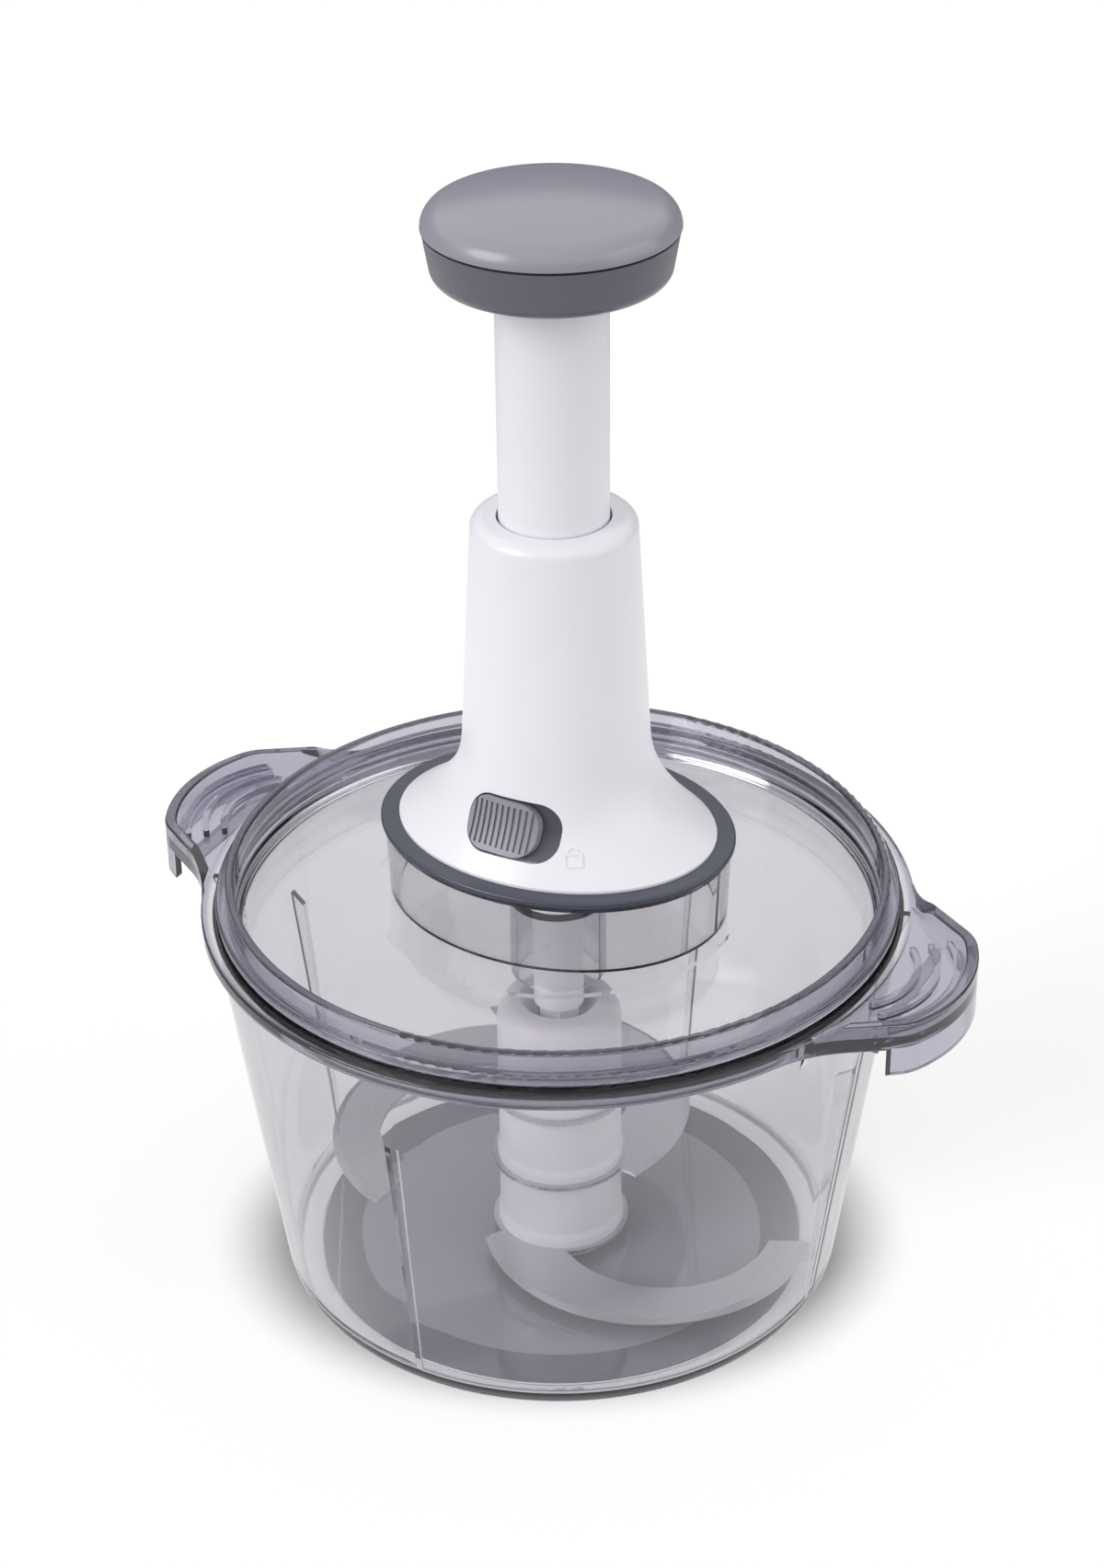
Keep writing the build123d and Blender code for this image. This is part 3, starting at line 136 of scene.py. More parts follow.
def add_lamp(name, strength, spread, direction):
    """A broad, distant lamp that lights a white face it looks at to this strength."""
    lamp_data = bpy.data.lights.new(name, "SUN")
    lamp_data.energy = strength * pi
    lamp_data.angle = spread
    lamp = bpy.data.objects.new(name, lamp_data)
    bpy.context.scene.collection.objects.link(lamp)
    lamp.rotation_euler = direction.to_track_quat("Z", "Y").to_euler()


key_from = lamp_direction(KEY_AZIMUTH, KEY_HEIGHT)
add_lamp("key_lamp", KEY_LIGHT, KEY_SPREAD, key_from)
add_lamp("fill_lamp", FILL_LIGHT, FILL_SPREAD, lamp_direction(FILL_AZIMUTH, FILL_HEIGHT))
bpy.context.scene.view_settings.view_transform = "Standard"
print("lamps", KEY_LIGHT, FILL_LIGHT)

# %% [markdown]
# ## Nodes and colours
# Colours are written as they look on a screen, in sRGB hex, and one function turns them to linear light.
# A second one adds a shader node with its settings, and links a socket wherever it is given another one.

# %% Shader helpers
def linear(hex_colour):
    """Linear RGBA of an sRGB hex colour."""
    channels = []
    for start in (0, 2, 4):
        value = int(hex_colour[start : start + 2], 16) / 255
        channels.append(value / 12.92 if value <= 0.04045 else ((value + 0.055) / 1.055) ** 2.4)
    return (*channels, 1.0)


def add_node(tree, kind, inputs=None, **settings):
    """Add a node; an input that is a socket is linked, any other is set."""
    made = tree.nodes.new(kind)
    for name, value in settings.items():
        setattr(made, name, value)
    for name, value in (inputs or {}).items():
        if isinstance(value, bpy.types.NodeSocket):
            tree.links.new(value, made.inputs[name])
        else:
            made.inputs[name].default_value = value
    return made


def new_material(name):
    """An empty node material and its output node."""
    material = bpy.data.materials.new(name)
    material.use_nodes = True
    material.node_tree.nodes.clear()
    output = material.node_tree.nodes.new("ShaderNodeOutputMaterial")
    return material, material.node_tree, output


def per_mm(size):
    """Texture scale, in Object coordinates, of a pattern whose cells are this many millimetres."""
    return 1 / (size * MM)


WHITE = linear("ffffff")
print("mid grey is", round(linear("808080")[0], 3), "in linear light")

# %% [markdown]
# ## Room
# An even tent of light fills what the lamps leave. What clear plastic and gloss look at is drawn as a
# real studio is: a white backdrop behind, a soft box on the left, a white panel overhead, and a dim room
# everywhere else. Without that dim room, the rims of a clear bowl have nothing dark to bend into view,
# and vanish. The edge of the overhead panel draws the line across the shiny lid. The Light Path node
# tells which kind of ray is asking, so the camera itself still sees plain white.

# %% Room
TENT_LIGHT = 0.69
ROOM_COLOUR = "62667a"
BACKDROP_START = 0.05
BACKDROP_FULL = 0.55
SOFT_BOX_START = 0.72
SOFT_BOX_FULL = 0.90
PANEL_EDGE = radians(21.2)
PANEL_BLUR = radians(0.8)

world = bpy.data.worlds.new("studio_room")
bpy.context.scene.world = world
world.use_nodes = True
tree = world.node_tree
tree.nodes.clear()
path = add_node(tree, "ShaderNodeLightPath")
place = add_node(tree, "ShaderNodeTexCoord")
behind = add_node(tree, "ShaderNodeVectorMath", {
    0: place.outputs["Generated"], 1: view_level}, operation="DOT_PRODUCT")
backdrop = add_node(tree, "ShaderNodeMapRange", {
    "Value": behind.outputs["Value"], "From Min": BACKDROP_START, "From Max": BACKDROP_FULL},
    interpolation_type="SMOOTHSTEP")
leftward = add_node(tree, "ShaderNodeVectorMath", {
    0: place.outputs["Generated"], 1: key_from}, operation="DOT_PRODUCT")
soft_box = add_node(tree, "ShaderNodeMapRange", {
    "Value": leftward.outputs["Value"], "From Min": SOFT_BOX_START, "From Max": SOFT_BOX_FULL},
    interpolation_type="SMOOTHSTEP")
upward = add_node(tree, "ShaderNodeSeparateXYZ", {0: place.outputs["Generated"]})
panel = add_node(tree, "ShaderNodeMapRange", {
    "Value": upward.outputs["Z"], "From Min": sin(PANEL_EDGE - PANEL_BLUR),
    "From Max": sin(PANEL_EDGE + PANEL_BLUR)}, interpolation_type="SMOOTHSTEP")
print("room pieces", backdrop.name, soft_box.name, panel.name)

# %% [markdown]
# ## What each ray sees of the room
# Gloss sees the overhead panel and clear plastic sees the backdrop, and both see the soft box. All other
# light comes from the even tent, and the camera sees white. Mix nodes with the kind of ray as their factor
# keep this in one world.

# %% Room seen by each kind of ray
white_side = add_node(tree, "ShaderNodeMix", {
    "Factor": path.outputs["Is Glossy Ray"], "A": backdrop.outputs[0], "B": panel.outputs[0]})
white_side = add_node(tree, "ShaderNodeMath", {
    0: white_side.outputs[0], 1: soft_box.outputs[0]}, operation="MAXIMUM")
room = add_node(tree, "ShaderNodeMix", {
    "Factor": white_side.outputs[0], 6: linear(ROOM_COLOUR), 7: WHITE}, data_type="RGBA")
plain = add_node(tree, "ShaderNodeMix", {
    "Factor": path.outputs["Is Camera Ray"], 6: (TENT_LIGHT, TENT_LIGHT, TENT_LIGHT, 1), 7: WHITE},
    data_type="RGBA")
mirrored = add_node(tree, "ShaderNodeMath", {
    0: path.outputs["Is Glossy Ray"], 1: path.outputs["Is Transmission Ray"]}, operation="MAXIMUM")
level = add_node(tree, "ShaderNodeMix", {
    "Factor": mirrored.outputs[0], 6: plain.outputs[2], 7: room.outputs[2]}, data_type="RGBA")
tent = add_node(tree, "ShaderNodeBackground", {"Color": level.outputs[2], "Strength": 1.0})
add_node(tree, "ShaderNodeOutputWorld", {"Surface": tent.outputs[0]})
print("room nodes", len(tree.nodes))

# %% [markdown]
# ## Sweep paper
# The floor is a sheet of white sweep paper. Its diffuse part takes the shadows, and a little glow tops it
# up to white for the camera. Clear plastic sees it white close by and dim far off, where a real sheet
# ends. The bowl casts no shadow here, for the reason given with its plastic, so the soft shade that a
# bowl throws round its foot is put into the paper, for direct views only: an oval that is a little
# narrower from front to back, as under light from the front and the back.

# %% Sweep paper
FLOOR_HALF = 3.0
FLOOR_ALBEDO = 0.82
FLOOR_TOP_UP = 0.24
PAPER_NEAR = 0.30
PAPER_FAR = 0.75
PAPER_FAR_LEVEL = 0.25
SHADE_INNER = 60 * MM
SHADE_OUTER = 94 * MM
SHADE_NARROW = 1.22
SHADE_LEVEL = 0.12

sweep_paper, tree, output = new_material("white_sweep_paper")
path = add_node(tree, "ShaderNodeLightPath")
place = add_node(tree, "ShaderNodeTexCoord")
reach = add_node(tree, "ShaderNodeVectorMath", {0: place.outputs["Object"]}, operation="LENGTH")
near = add_node(tree, "ShaderNodeMapRange", {
    "Value": reach.outputs["Value"], "From Min": PAPER_NEAR, "From Max": PAPER_FAR,
    "To Min": 1.0, "To Max": PAPER_FAR_LEVEL}, interpolation_type="SMOOTHSTEP")
oval = add_node(tree, "ShaderNodeMapping", {
    "Vector": place.outputs["Object"], "Rotation": (0, 0, VIEW_AZIMUTH),
    "Scale": (1, 1 / SHADE_NARROW, 1)}, vector_type="TEXTURE")
oval = add_node(tree, "ShaderNodeVectorMath", {0: oval.outputs[0]}, operation="LENGTH")
contact = add_node(tree, "ShaderNodeMapRange", {
    "Value": oval.outputs["Value"], "From Min": SHADE_INNER, "From Max": SHADE_OUTER,
    "To Min": SHADE_LEVEL, "To Max": 1.0}, interpolation_type="SMOOTHSTEP")
contact = add_node(tree, "ShaderNodeMix", {
    "Factor": path.outputs["Is Camera Ray"], "A": 1.0, "B": contact.outputs[0]})
print("paper white to", PAPER_NEAR, "m, shade to", round(SHADE_OUTER, 3), "m")

# %% [markdown]
# ## Glow and colour of the paper
# The oval shade darkens both the glow and the colour, so that the paper stays one even sheet where the two
# meet.

# %% Paper's glow and colour
mirrored = add_node(tree, "ShaderNodeMath", {
    0: path.outputs["Is Glossy Ray"], 1: path.outputs["Is Transmission Ray"]}, operation="MAXIMUM")
mirrored = add_node(tree, "ShaderNodeMath", {
    0: mirrored.outputs[0], 1: near.outputs[0]}, operation="MULTIPLY")
seen = add_node(tree, "ShaderNodeMath", {
    0: mirrored.outputs[0], 1: path.outputs["Is Camera Ray"]}, operation="MAXIMUM")
glow = add_node(tree, "ShaderNodeMath", {0: contact.outputs[0], 1: FLOOR_TOP_UP}, operation="MULTIPLY")
glow = add_node(tree, "ShaderNodeMath", {0: seen.outputs[0], 1: glow.outputs[0]}, operation="MULTIPLY")
shade = add_node(tree, "ShaderNodeMath", {
    0: near.outputs[0], 1: path.outputs["Is Camera Ray"]}, operation="MAXIMUM")
shade = add_node(tree, "ShaderNodeMath", {
    0: shade.outputs[0], 1: contact.outputs[0]}, operation="MULTIPLY")
shade = add_node(tree, "ShaderNodeMath", {0: shade.outputs[0], 1: FLOOR_ALBEDO}, operation="MULTIPLY")
paper = add_node(tree, "ShaderNodeBsdfDiffuse", {"Color": shade.outputs[0]})
shine = add_node(tree, "ShaderNodeEmission", {"Color": WHITE, "Strength": glow.outputs[0]})
both = add_node(tree, "ShaderNodeAddShader", {0: paper.outputs[0], 1: shine.outputs[0]})
tree.links.new(both.outputs[0], output.inputs["Surface"])

bpy.ops.object.select_all(action="DESELECT")
bpy.ops.mesh.primitive_plane_add(size=2 * FLOOR_HALF, location=(0, 0, cad_bounds[0][2]))
floor = bpy.context.object
floor.name = "floor"
floor.data.materials.append(sweep_paper)
print("floor", 2 * FLOOR_HALF, "m wide")

# %% [markdown]
# ## Clear smoke plastic
# The bowl and lid are injection-moulded SAN, a clear styrene plastic with a grey-violet tint. The tint is
# in the plastic, so a thin wall is pale and a thick rim, seen along its length, goes dark. That calls for
# a clear shader with absorption inside the solid rather than a tinted surface. The ribbed rims and
# handles scatter more than the plain walls do, so their skin has a little haze, by distance from the axis.
# Their skin is also darkened there with painted shade, for the dark that refraction gives these thick,
# ribbed parts. The outer skin at the very foot is darkened with a painted shadow, for the table in shade
# under the clear foot. A moulded wall is never optically flat, so a shallow, slow ripple bends what is
# seen through it. Real clear plastic hardly stops light, while a refracting solid stops every lamp in the
# renderer, so the bowl and lid are left out of shadow and diffuse rays, and what is inside is lit as in
# daylight.

# %% Smoke plastic
SAN_IOR = 1.52
SAN_ROUGHNESS = 0.025
SMOKE_TINT = "948ba0"
SMOKE_DENSITY = 130.0
BOWL_RIM_MM = 86.0
LID_RIM_MM = 79.2
# Painted shade: the next colour darkens the skin of the thick rims and handles.
RIM_PAINTED_SHADE = "d0d0dc"
RIM_FADE_MM = 1.2
RIM_HAZE = 0.05
# Painted shadow: the next colour and sizes darken the outer skin at the very foot.
FOOT_PAINTED_SHADE = "52505c"
FOOT_SHADE_START_MM = 69.0
FOOT_SHADE_LOW_MM = 1.5
FOOT_SHADE_HIGH_MM = 4.5
RIPPLE_MM = 16.0
RIPPLE_DEPTH_MM = 0.02


def smoke_plastic(name, rim_start_mm):
    """Clear tinted plastic, with painted shade on its skin outside a radius and at the foot."""
    made, tree, output = new_material(name)
    spot = add_node(tree, "ShaderNodeTexCoord")
    level_spot = add_node(tree, "ShaderNodeVectorMath", {
        0: spot.outputs["Object"], 1: (1, 1, 0)}, operation="MULTIPLY")
    radius = add_node(tree, "ShaderNodeVectorMath", {0: level_spot.outputs[0]}, operation="LENGTH")
    rim = add_node(tree, "ShaderNodeMapRange", {
        "Value": radius.outputs["Value"], "From Min": rim_start_mm * MM,
        "From Max": (rim_start_mm + RIM_FADE_MM) * MM}, interpolation_type="SMOOTHSTEP")
    # Painted shade: outside the rim radius, the skin is tinted darker.
    skin_tint_and_shade = add_node(tree, "ShaderNodeMix", {
        "Factor": rim.outputs[0], 6: WHITE, 7: linear(RIM_PAINTED_SHADE)}, data_type="RGBA")
    height = add_node(tree, "ShaderNodeSeparateXYZ", {0: spot.outputs["Object"]})
    # Painted shadow at the foot: low on the wall and outside the foot radius, the skin goes dark.
    low = add_node(tree, "ShaderNodeMapRange", {
        "Value": height.outputs["Z"], "From Min": FOOT_SHADE_LOW_MM * MM, "From Max": FOOT_SHADE_HIGH_MM * MM,
        "To Min": 1.0, "To Max": 0.0}, interpolation_type="SMOOTHSTEP")
    outside = add_node(tree, "ShaderNodeMapRange", {
        "Value": radius.outputs["Value"], "From Min": FOOT_SHADE_START_MM * MM,
        "From Max": (FOOT_SHADE_START_MM + RIM_FADE_MM) * MM}, interpolation_type="SMOOTHSTEP")
    foot = add_node(tree, "ShaderNodeMath", {
        0: low.outputs[0], 1: outside.outputs[0]}, operation="MULTIPLY")
    skin_tint_and_shade = add_node(tree, "ShaderNodeMix", {
        "Factor": foot.outputs[0], 6: skin_tint_and_shade.outputs[2], 7: linear(FOOT_PAINTED_SHADE)}, data_type="RGBA")
    clear = add_node(tree, "ShaderNodeMapRange", {
        "Value": rim.outputs[0], "To Min": 1.0, "To Max": 1.0 - RIM_HAZE})
    ripple = add_node(tree, "ShaderNodeTexNoise", {
        "Vector": spot.outputs["Object"], "Scale": per_mm(RIPPLE_MM), "Detail": 1.0})
    wave = add_node(tree, "ShaderNodeBump", {
        "Height": ripple.outputs["Fac"], "Strength": 1.0, "Distance": RIPPLE_DEPTH_MM * MM})
    skin = add_node(tree, "ShaderNodeBsdfPrincipled", {
        "Base Color": skin_tint_and_shade.outputs[2], "Roughness": SAN_ROUGHNESS, "IOR": SAN_IOR,
        "Transmission Weight": clear.outputs[0], "Normal": wave.outputs[0]})
    tint = add_node(tree, "ShaderNodeVolumeAbsorption", {
        "Color": linear(SMOKE_TINT), "Density": SMOKE_DENSITY})
    tree.links.new(skin.outputs[0], output.inputs["Surface"])
    tree.links.new(tint.outputs[0], output.inputs["Volume"])
    return made


clear_pieces = {
    "bowl": smoke_plastic("smoke_san_bowl", BOWL_RIM_MM),
    "lid": smoke_plastic("smoke_san_lid", LID_RIM_MM),
}
for clear_name in clear_pieces:
    nodes[clear_name].visible_shadow = False
    nodes[clear_name].visible_diffuse = False
print("smoke plastic on", list(clear_pieces))

# %% [markdown]
# ## Moulded plastics
# The press unit is moulded ABS, satin from a finely blasted mould: the eye gets an even colour, a broad
# soft highlight, and a grain that only just breaks it up. The grain is drawn coarser than the real one,
# which would be too fine to show. A slow drift of tone keeps a large face from looking painted. The hub
# sleeves are milky polypropylene, which lets light in below its skin, and the bearings are acetal.

# %% Moulded plastics
DRIFT_MM = 35.0
GRAIN_SPREAD = 0.1
GRAIN_STRENGTH = 0.6
ABS_IOR = 1.53
MILKY_SHARE = 0.3


def moulded_plastic(name, colours, roughness, grain_mm, grain_depth_mm, ior=ABS_IOR, milky_mm=0.0):
    """Opaque moulded plastic: two close tones that drift, and a fine mould grain."""
    made, tree, output = new_material(name)
    spot = add_node(tree, "ShaderNodeTexCoord")
    drift = add_node(tree, "ShaderNodeTexNoise", {
        "Vector": spot.outputs["Object"], "Scale": per_mm(DRIFT_MM), "Detail": 2.0})
    tone = add_node(tree, "ShaderNodeMix", {
        "Factor": drift.outputs["Fac"], 6: linear(colours[0]), 7: linear(colours[1])}, data_type="RGBA")
    grain = add_node(tree, "ShaderNodeTexNoise", {
        "Vector": spot.outputs["Object"], "Scale": per_mm(grain_mm), "Detail": 2.0})
    rough = add_node(tree, "ShaderNodeMapRange", {
        "Value": grain.outputs["Fac"], "To Min": roughness * (1 - GRAIN_SPREAD),
        "To Max": roughness * (1 + GRAIN_SPREAD)})
    bump = add_node(tree, "ShaderNodeBump", {
        "Height": grain.outputs["Fac"], "Strength": GRAIN_STRENGTH, "Distance": grain_depth_mm * MM})
    skin = add_node(tree, "ShaderNodeBsdfPrincipled", {
        "Base Color": tone.outputs[2], "Roughness": rough.outputs[0], "IOR": ior,
        "Normal": bump.outputs[0], "Subsurface Weight": MILKY_SHARE if milky_mm else 0.0,
        "Subsurface Scale": milky_mm * MM})
    tree.links.new(skin.outputs[0], output.inputs["Surface"])
    return made


white_abs = moulded_plastic("white_abs_satin", ("eeecf3", "f2f0f6"), 0.30, 1.2, 0.004)
milky_hub = moulded_plastic("milky_polypropylene", ("d8d6de", "dedce3"), 0.42, 1.5, 0.008, 1.49, 2.5)
slate_abs = moulded_plastic("slate_abs_satin", ("3f4352", "454958"), 0.30, 1.0, 0.006)
knob_abs = moulded_plastic("grey_abs_satin", ("9895a0", "9d9aa5"), 0.22, 1.0, 0.002)
cup_abs = moulded_plastic("dark_grey_abs", ("5c5a67", "615f6c"), 0.24, 1.0, 0.002)
lock_abs = moulded_plastic("grey_lock_abs", ("8d8d99", "92929e"), 0.36, 0.9, 0.006)
acetal = moulded_plastic("white_acetal", ("ecebe8", "f0efec"), 0.40, 1.2, 0.005, 1.48)
print("plastics", white_abs.name, slate_abs.name, knob_abs.name, milky_hub.name)

# %% [markdown]
# ## Rubber
# The pad under the bowl and the seal round the lid are soft thermoplastic rubber. It is matt with a
# tacky, slightly uneven skin, so it gets a rougher surface, a deeper grain, and a faint cloudiness in its
# tone. The pad's outer ring, which stands on the table, is given a darker grey.

# %% Rubber
RUBBER_IOR = 1.5
SILICONE_IOR = 1.43
pad_rubber = moulded_plastic("anti_slip_rubber", ("9896a2", "a2a0a9"), 0.62, 1.6, 0.03, RUBBER_IOR)
foot_rubber = moulded_plastic("anti_slip_foot_rubber", ("636170", "6b6977"), 0.66, 1.6, 0.04, RUBBER_IOR)
seal_rubber = moulded_plastic("pale_silicone", ("b4b3bc", "bcbbc4"), 0.5, 1.2, 0.01, SILICONE_IOR)
print("rubbers", pad_rubber.name, foot_rubber.name, seal_rubber.name)

# %% [markdown]
# ## Steel
# The blades are ground stainless strip. Grinding leaves fine lines that widen the highlight across them,
# which a banded noise gives when it is stretched into rings round the axis the blades were ground about.
# The lines are drawn wider than real ones, so that they show. Pins, screws and the spring are bright
# drawn wire with hardly any lines.

# %% Steel
GRIND_MM = 0.8
WAVE_TURN = 2 * pi / 20
LINE_SPREAD = 0.2


def steel(name, colour, roughness, line_depth_mm):
    """Stainless steel with fine ring-shaped grinding lines."""
    made, tree, output = new_material(name)
    spot = add_node(tree, "ShaderNodeTexCoord")
    lines = add_node(tree, "ShaderNodeTexWave", {
        "Vector": spot.outputs["Object"], "Scale": WAVE_TURN * per_mm(GRIND_MM), "Distortion": 5.0,
        "Detail": 3.0, "Detail Scale": 2.0}, wave_type="RINGS", rings_direction="Z")
    rough = add_node(tree, "ShaderNodeMapRange", {
        "Value": lines.outputs["Fac"], "To Min": roughness * (1 - LINE_SPREAD),
        "To Max": roughness * (1 + LINE_SPREAD)})
    bump = add_node(tree, "ShaderNodeBump", {
        "Height": lines.outputs["Fac"], "Strength": 0.5, "Distance": line_depth_mm * MM})
    skin = add_node(tree, "ShaderNodeBsdfPrincipled", {
        "Base Color": linear(colour), "Metallic": 1.0, "Roughness": rough.outputs[0],
        "Normal": bump.outputs[0]})
    tree.links.new(skin.outputs[0], output.inputs["Surface"])
    return made


blade_steel = steel("ground_stainless_strip", "cfcdd3", 0.34, 0.01)
bright_steel = steel("bright_drawn_steel", "c4c3c8", 0.22, 0.003)
print("steels", blade_steel.name, bright_steel.name)

# %% [markdown]
# ## Dress the solids
# Each solid names the slot that its finish belongs to, so one table of slots dresses them all. The bowl
# and the lid have their own versions of the clear plastic, because their rims begin at different radii.

# %% Dress the solids
finishes = {
    "white_gloss": white_abs,
    "hub_pale": milky_hub,
    "slate_trim": slate_abs,
    "knob_grey": knob_abs,
    "cup_grey": cup_abs,
    "lock_grey": lock_abs,
    "bearing_white": acetal,
    "pad_rubber": pad_rubber,
    "seal_rubber": seal_rubber,
    "blade_steel": blade_steel,
    "plain_steel": bright_steel,
}
for part in frame["record"]["subparts"]:
    mesh = nodes[part["node"]].data
    mesh.materials.clear()
    mesh.materials.append(clear_pieces.get(part["node"]) or finishes[part["material_slot"]])

# %% [markdown]
# ## Modelling helpers
# The soft and small pieces are modelled one by one. Each starts as a primitive at its real size, is shaped
# in edit mode, and then has its place and turn written into its mesh, so that its object stays at the
# origin. Faces and edges are picked in code, by where they are.

# %% Modelling helpers
SMOOTH_ANGLE = radians(35)


def start_piece(add_primitive, name, **sizes):
    """Add a primitive with nothing else selected, and give it its name."""
    bpy.ops.object.select_all(action="DESELECT")
    add_primitive(**sizes)
    piece = bpy.context.object
    piece.name = name
    bpy.ops.object.transform_apply(location=True, rotation=True, scale=True)
    return piece


def select_where(piece, kind, test):
    """In edit mode, select only the vertices, edges or faces that pass a test."""
    bpy.ops.mesh.select_mode(type=kind)
    bpy.ops.mesh.select_all(action="DESELECT")
    bpy.ops.object.mode_set(mode="OBJECT")
    corners = piece.data.vertices
    if kind == "FACE":
        for face in piece.data.polygons:
            face.select = test(face.center, face.normal)
    elif kind == "EDGE":
        for edge in piece.data.edges:
            edge.select = test(corners[edge.vertices[0]].co, corners[edge.vertices[1]].co)
    else:
        for corner in corners:
            corner.select = test(corner.co)
    bpy.ops.object.mode_set(mode="EDIT")


def finish_piece(piece, body, slot_name, *materials):
    """Close the edit, shade the piece, dress it and hang it on its body."""
    bpy.ops.object.mode_set(mode="OBJECT")
    bpy.ops.object.shade_smooth_by_angle(angle=SMOOTH_ANGLE)
    for material in materials:
        piece.data.materials.append(material)
    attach(piece, body)
    print(piece.name, "faces", len(piece.data.polygons))


print("helpers ready, edges over", round(SMOOTH_ANGLE, 2), "rad stay sharp")

# %% [markdown]
# ## Return spring
# A coil of round wire that lifts the plunger, and shortens as the plunger goes down. A Screw modifier is
# the natural tool: it sweeps the wire's round section about Z and up by one pitch a turn.

# %% Return spring
SPRING_WIRE = 0.6 * MM
SPRING_TURNS = 11
SPRING_SIDES = 10
SPRING_STEPS = 28
spring_low, spring_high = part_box("return_spring")
spring_tall = spring_high[2] - spring_low[2]
spring_middle = (spring_high[1] - spring_low[1]) / 2 - SPRING_WIRE

spring = start_piece(
    bpy.ops.mesh.primitive_circle_add, "return_spring_coil", vertices=SPRING_SIDES, radius=SPRING_WIRE,
    location=(spring_middle, 0, spring_low[2] + SPRING_WIRE), rotation=(pi / 2, 0, 0))
coil = spring.modifiers.new("coil", "SCREW")
coil.axis = "Z"
coil.angle = 2 * pi
coil.steps = SPRING_STEPS
coil.render_steps = SPRING_STEPS
coil.iterations = SPRING_TURNS
coil.screw_offset = (spring_tall - 2 * SPRING_WIRE) / SPRING_TURNS
bpy.ops.object.modifier_apply(modifier="coil")
bpy.ops.object.mode_set(mode="EDIT")
bpy.ops.mesh.select_all(action="SELECT")
bpy.ops.mesh.fill_holes(sides=0)
bpy.ops.mesh.normals_make_consistent(inside=False)
finish_piece(spring, "lid", "plain_steel", bright_steel)
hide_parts("return_spring")
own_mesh(spring)

# %% [markdown]
# ## Anti-slip pad
# A soft disc that fills the hollow under the bowl. It stands on a broad outer ring with three grooves
# that grip the table, is dished inside the ring, and has a hole for the head of the pivot pin. The ring
# is the darker band that shows through the bowl's floor. Turning a drawn section would do, but a disc
# whose two faces are inset ring by ring needs no section, and its holes are bridged into one.

# %% Anti-slip pad
PAD_SIDES = 160
PAD_TOP_GAP = 0.05 * MM
PAD_RING = 10.5 * MM
PAD_HOLE = 8.3 * MM
PAD_DISH = 0.6 * MM
GROOVE_COUNT = 3
pad_low, pad_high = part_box("anti_slip_base")
pad_radius = (pad_high[1] - pad_low[1]) / 2
pad_tall = pad_high[2] - pad_low[2] - PAD_TOP_GAP
ring_inside = pad_radius - PAD_RING
band_count = 2 * GROOVE_COUNT + 1
groove_width = PAD_RING / band_count

pad = start_piece(
    bpy.ops.mesh.primitive_cylinder_add, "anti_slip_pad", vertices=PAD_SIDES, radius=pad_radius,
    depth=pad_tall, location=(0, 0, pad_low[2] + pad_tall / 2))
bpy.ops.object.mode_set(mode="EDIT")
for facing in (1, -1):
    select_where(pad, "FACE", lambda middle, normal: normal.z * facing > 0.5)
    for band in range(band_count):
        bpy.ops.mesh.inset(thickness=groove_width)
    if facing < 0:
        bpy.ops.mesh.extrude_region_move(TRANSFORM_OT_translate={"value": (0, 0, PAD_DISH)})
    bpy.ops.mesh.inset(thickness=pad_radius - PAD_RING - PAD_HOLE)
    bpy.ops.mesh.delete(type="FACE")
select_where(pad, "EDGE", lambda a, b: max(a.xy.length, b.xy.length) < PAD_HOLE * 1.01)
bpy.ops.mesh.bridge_edge_loops()
print("pad radius", round(pad_radius, 4), "height", round(pad_tall, 5))

# %% [markdown]
# ## Grooves of the pad
# Every second band on the ring's underside is pushed up into a groove. The ring then takes the darker
# rubber, and a Bevel modifier softens the edges as a mould does.

# %% Grooves of the pad
GROOVE_DEPTH = 0.4 * MM
PAD_EDGE_ROUND = 0.25 * MM


def in_groove(middle, normal):
    """True for a face under the ring that lies on an odd band."""
    inward = pad_radius - middle.xy.length
    return normal.z < -0.5 and inward < PAD_RING and int(inward / groove_width) % 2 == 1


select_where(pad, "FACE", in_groove)
bpy.ops.mesh.extrude_region_move(TRANSFORM_OT_translate={"value": (0, 0, GROOVE_DEPTH)})
bpy.ops.mesh.select_all(action="SELECT")
bpy.ops.mesh.normals_make_consistent(inside=False)
finish_piece(pad, "bowl", "pad_rubber", pad_rubber, foot_rubber)
for face in pad.data.polygons:
    face.material_index = 1 if face.center.xy.length > ring_inside else 0
edge_round = pad.modifiers.new("soft_edges", "BEVEL")
edge_round.width = PAD_EDGE_ROUND
edge_round.segments = 2
edge_round.limit_method = "ANGLE"
bpy.ops.object.modifier_apply(modifier="soft_edges")
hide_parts("anti_slip_base")
print("grooves", GROOVE_COUNT, "each", round(groove_width, 5), "m wide")

# %% [markdown]
# ## Lid seal
# A silicone ring in the groove of the lid's plug, with a thin lip that leans out to the bowl's wall. Its
# section is drawn as a small plane, the outer edge is drawn in to a rounded lip, and spin takes it round.

# %% Lid seal
SEAL_LIP_SHARE = 0.35
SEAL_ROUND = 0.18 * MM
SEAL_STEPS = 144
WELD = 0.01 * MM
seal_low, seal_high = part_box("lid_seal")
seal_outer = seal_high[1]
seal_tall = seal_high[2] - seal_low[2]
seal_inner = min(corner.co.xy.length for corner in nodes["lid_seal"].data.vertices)
seal_middle = (seal_inner + seal_outer) / 2
section_place = (seal_middle, 0, (seal_low[2] + seal_high[2]) / 2)

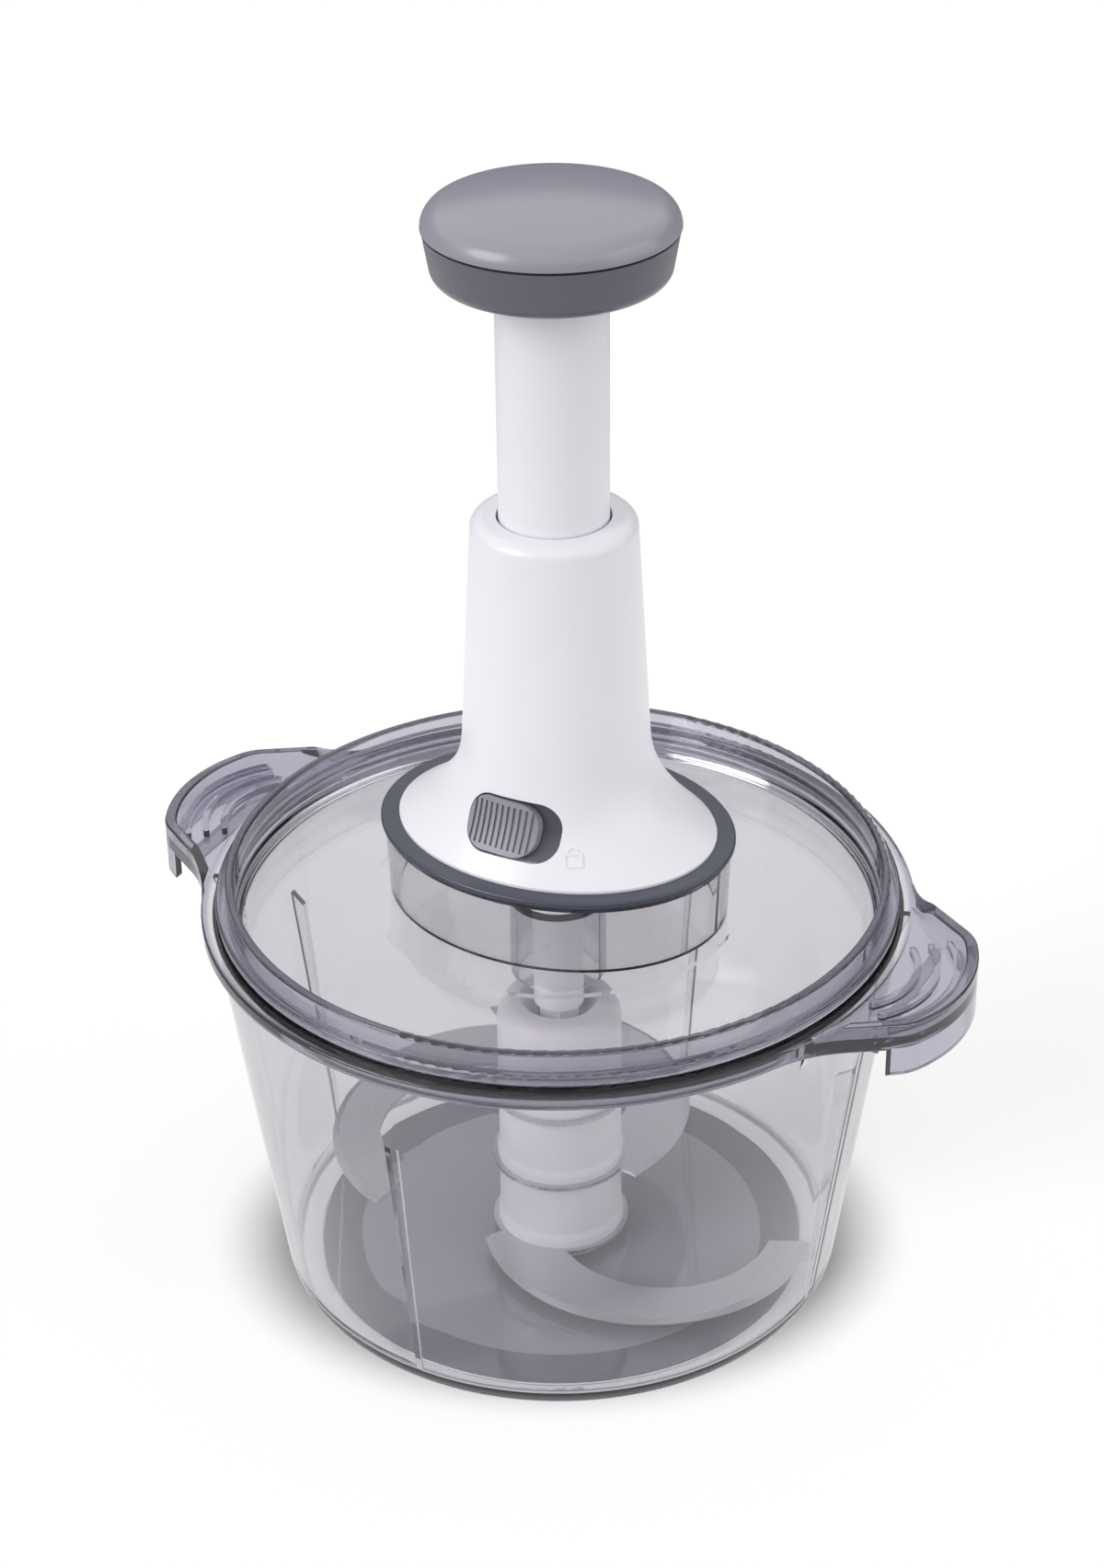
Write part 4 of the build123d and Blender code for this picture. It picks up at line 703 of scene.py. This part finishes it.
seal = start_piece(bpy.ops.mesh.primitive_plane_add, "lid_lip_seal", size=1,
                   location=section_place, rotation=(pi / 2, 0, 0))
bpy.ops.object.mode_set(mode="EDIT")
bpy.ops.mesh.select_all(action="SELECT")
bpy.ops.transform.resize(value=(seal_outer - seal_inner, 1, seal_tall), center_override=section_place)
select_where(seal, "EDGE", lambda a, b: min(a.x, b.x) > seal_middle)
bpy.ops.transform.resize(value=(1, 1, SEAL_LIP_SHARE))
bpy.ops.mesh.select_all(action="SELECT")
bpy.ops.mesh.bevel(offset=SEAL_ROUND, segments=3, affect="VERTICES")
bpy.ops.mesh.select_all(action="SELECT")
bpy.ops.mesh.spin(steps=SEAL_STEPS, angle=2 * pi, center=(0, 0, 0), axis=(0, 0, 1))
bpy.ops.mesh.select_all(action="SELECT")
bpy.ops.mesh.remove_doubles(threshold=WELD)
bpy.ops.mesh.normals_make_consistent(inside=False)
finish_piece(seal, "lid", "seal_rubber", seal_rubber)
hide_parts("lid_seal")

# %% [markdown]
# ## Lock sign
# A small raised padlock beside the slider shows which way locks the plunger. It is moulded in the
# housing, so it has the housing's own white. Its body is a flat plate with a window, and its bow is half
# of a ring that sits on the body's upper edge.

# %% Lock sign
SIGN_BODY = (4.6 * MM, 3.6 * MM)
SIGN_LINE = 0.55 * MM
SIGN_BOW = 1.6 * MM
sign_top = Vector((0, SIGN_BODY[1] / 2, 0))
bow_inside = (SIGN_BOW - SIGN_LINE) / SIGN_BOW

sign = start_piece(bpy.ops.mesh.primitive_plane_add, "lock_sign", size=1)
bpy.ops.object.mode_set(mode="EDIT")
bpy.ops.mesh.select_all(action="SELECT")
bpy.ops.transform.resize(value=(*SIGN_BODY, 1))
bpy.ops.mesh.inset(thickness=SIGN_LINE)
bpy.ops.mesh.delete(type="FACE")
bpy.ops.mesh.primitive_circle_add(vertices=32, radius=SIGN_BOW, location=sign_top)
bpy.ops.mesh.extrude_edges_move()
bpy.ops.transform.resize(value=(bow_inside, bow_inside, 1), center_override=sign_top)


def in_lower_bow(spot):
    """True for a corner of the bow's ring that lies below the body's upper edge."""
    return spot.y < sign_top.y - WELD and (spot - sign_top).length < SIGN_BOW * 1.05


select_where(sign, "VERT", in_lower_bow)
bpy.ops.mesh.delete(type="VERT")
bpy.ops.mesh.select_all(action="SELECT")
bpy.ops.mesh.subdivide(number_cuts=3)
bpy.ops.object.mode_set(mode="OBJECT")
print("flat sign, corners", len(sign.data.vertices))

# %% [markdown]
# ## Lay the sign on the flare
# The flat sign is turned to face out of the flare and moved just above it. A Shrinkwrap modifier lays it on
# the curved surface, and a Solidify modifier raises it, as a shallow mark cut in the mould would.

# %% Lay the sign on the flare
SIGN_SPOT = Vector((16.7, -24.35, 132.0)) * MM
SIGN_FACING = radians(-58)
SIGN_TILT = radians(52)
SIGN_RAISE = 0.30 * MM
out_level = Vector((cos(SIGN_FACING), sin(SIGN_FACING), 0))
sign_out = out_level * cos(SIGN_TILT) + Vector((0, 0, sin(SIGN_TILT)))
sign_right = Vector((0, 0, 1)).cross(out_level)
sign_up = sign_out.cross(sign_right)
lay = Matrix((sign_right, sign_up, sign_out)).transposed().to_4x4()
sign.matrix_world = Matrix.Translation(SIGN_SPOT + sign_out * MM) @ lay
bpy.ops.object.transform_apply(location=True, rotation=True, scale=True)

wrap = sign.modifiers.new("lay_on_flare", "SHRINKWRAP")
wrap.target = nodes["housing"]
wrap.wrap_method = "NEAREST_SURFACEPOINT"
wrap.offset = 0.0
bpy.ops.object.modifier_apply(modifier="lay_on_flare")
raised = sign.modifiers.new("raise", "SOLIDIFY")
raised.thickness = 2 * SIGN_RAISE
raised.offset = 0.0
bpy.ops.object.modifier_apply(modifier="raise")
finish_piece(sign, "lid", "white_gloss", white_abs)
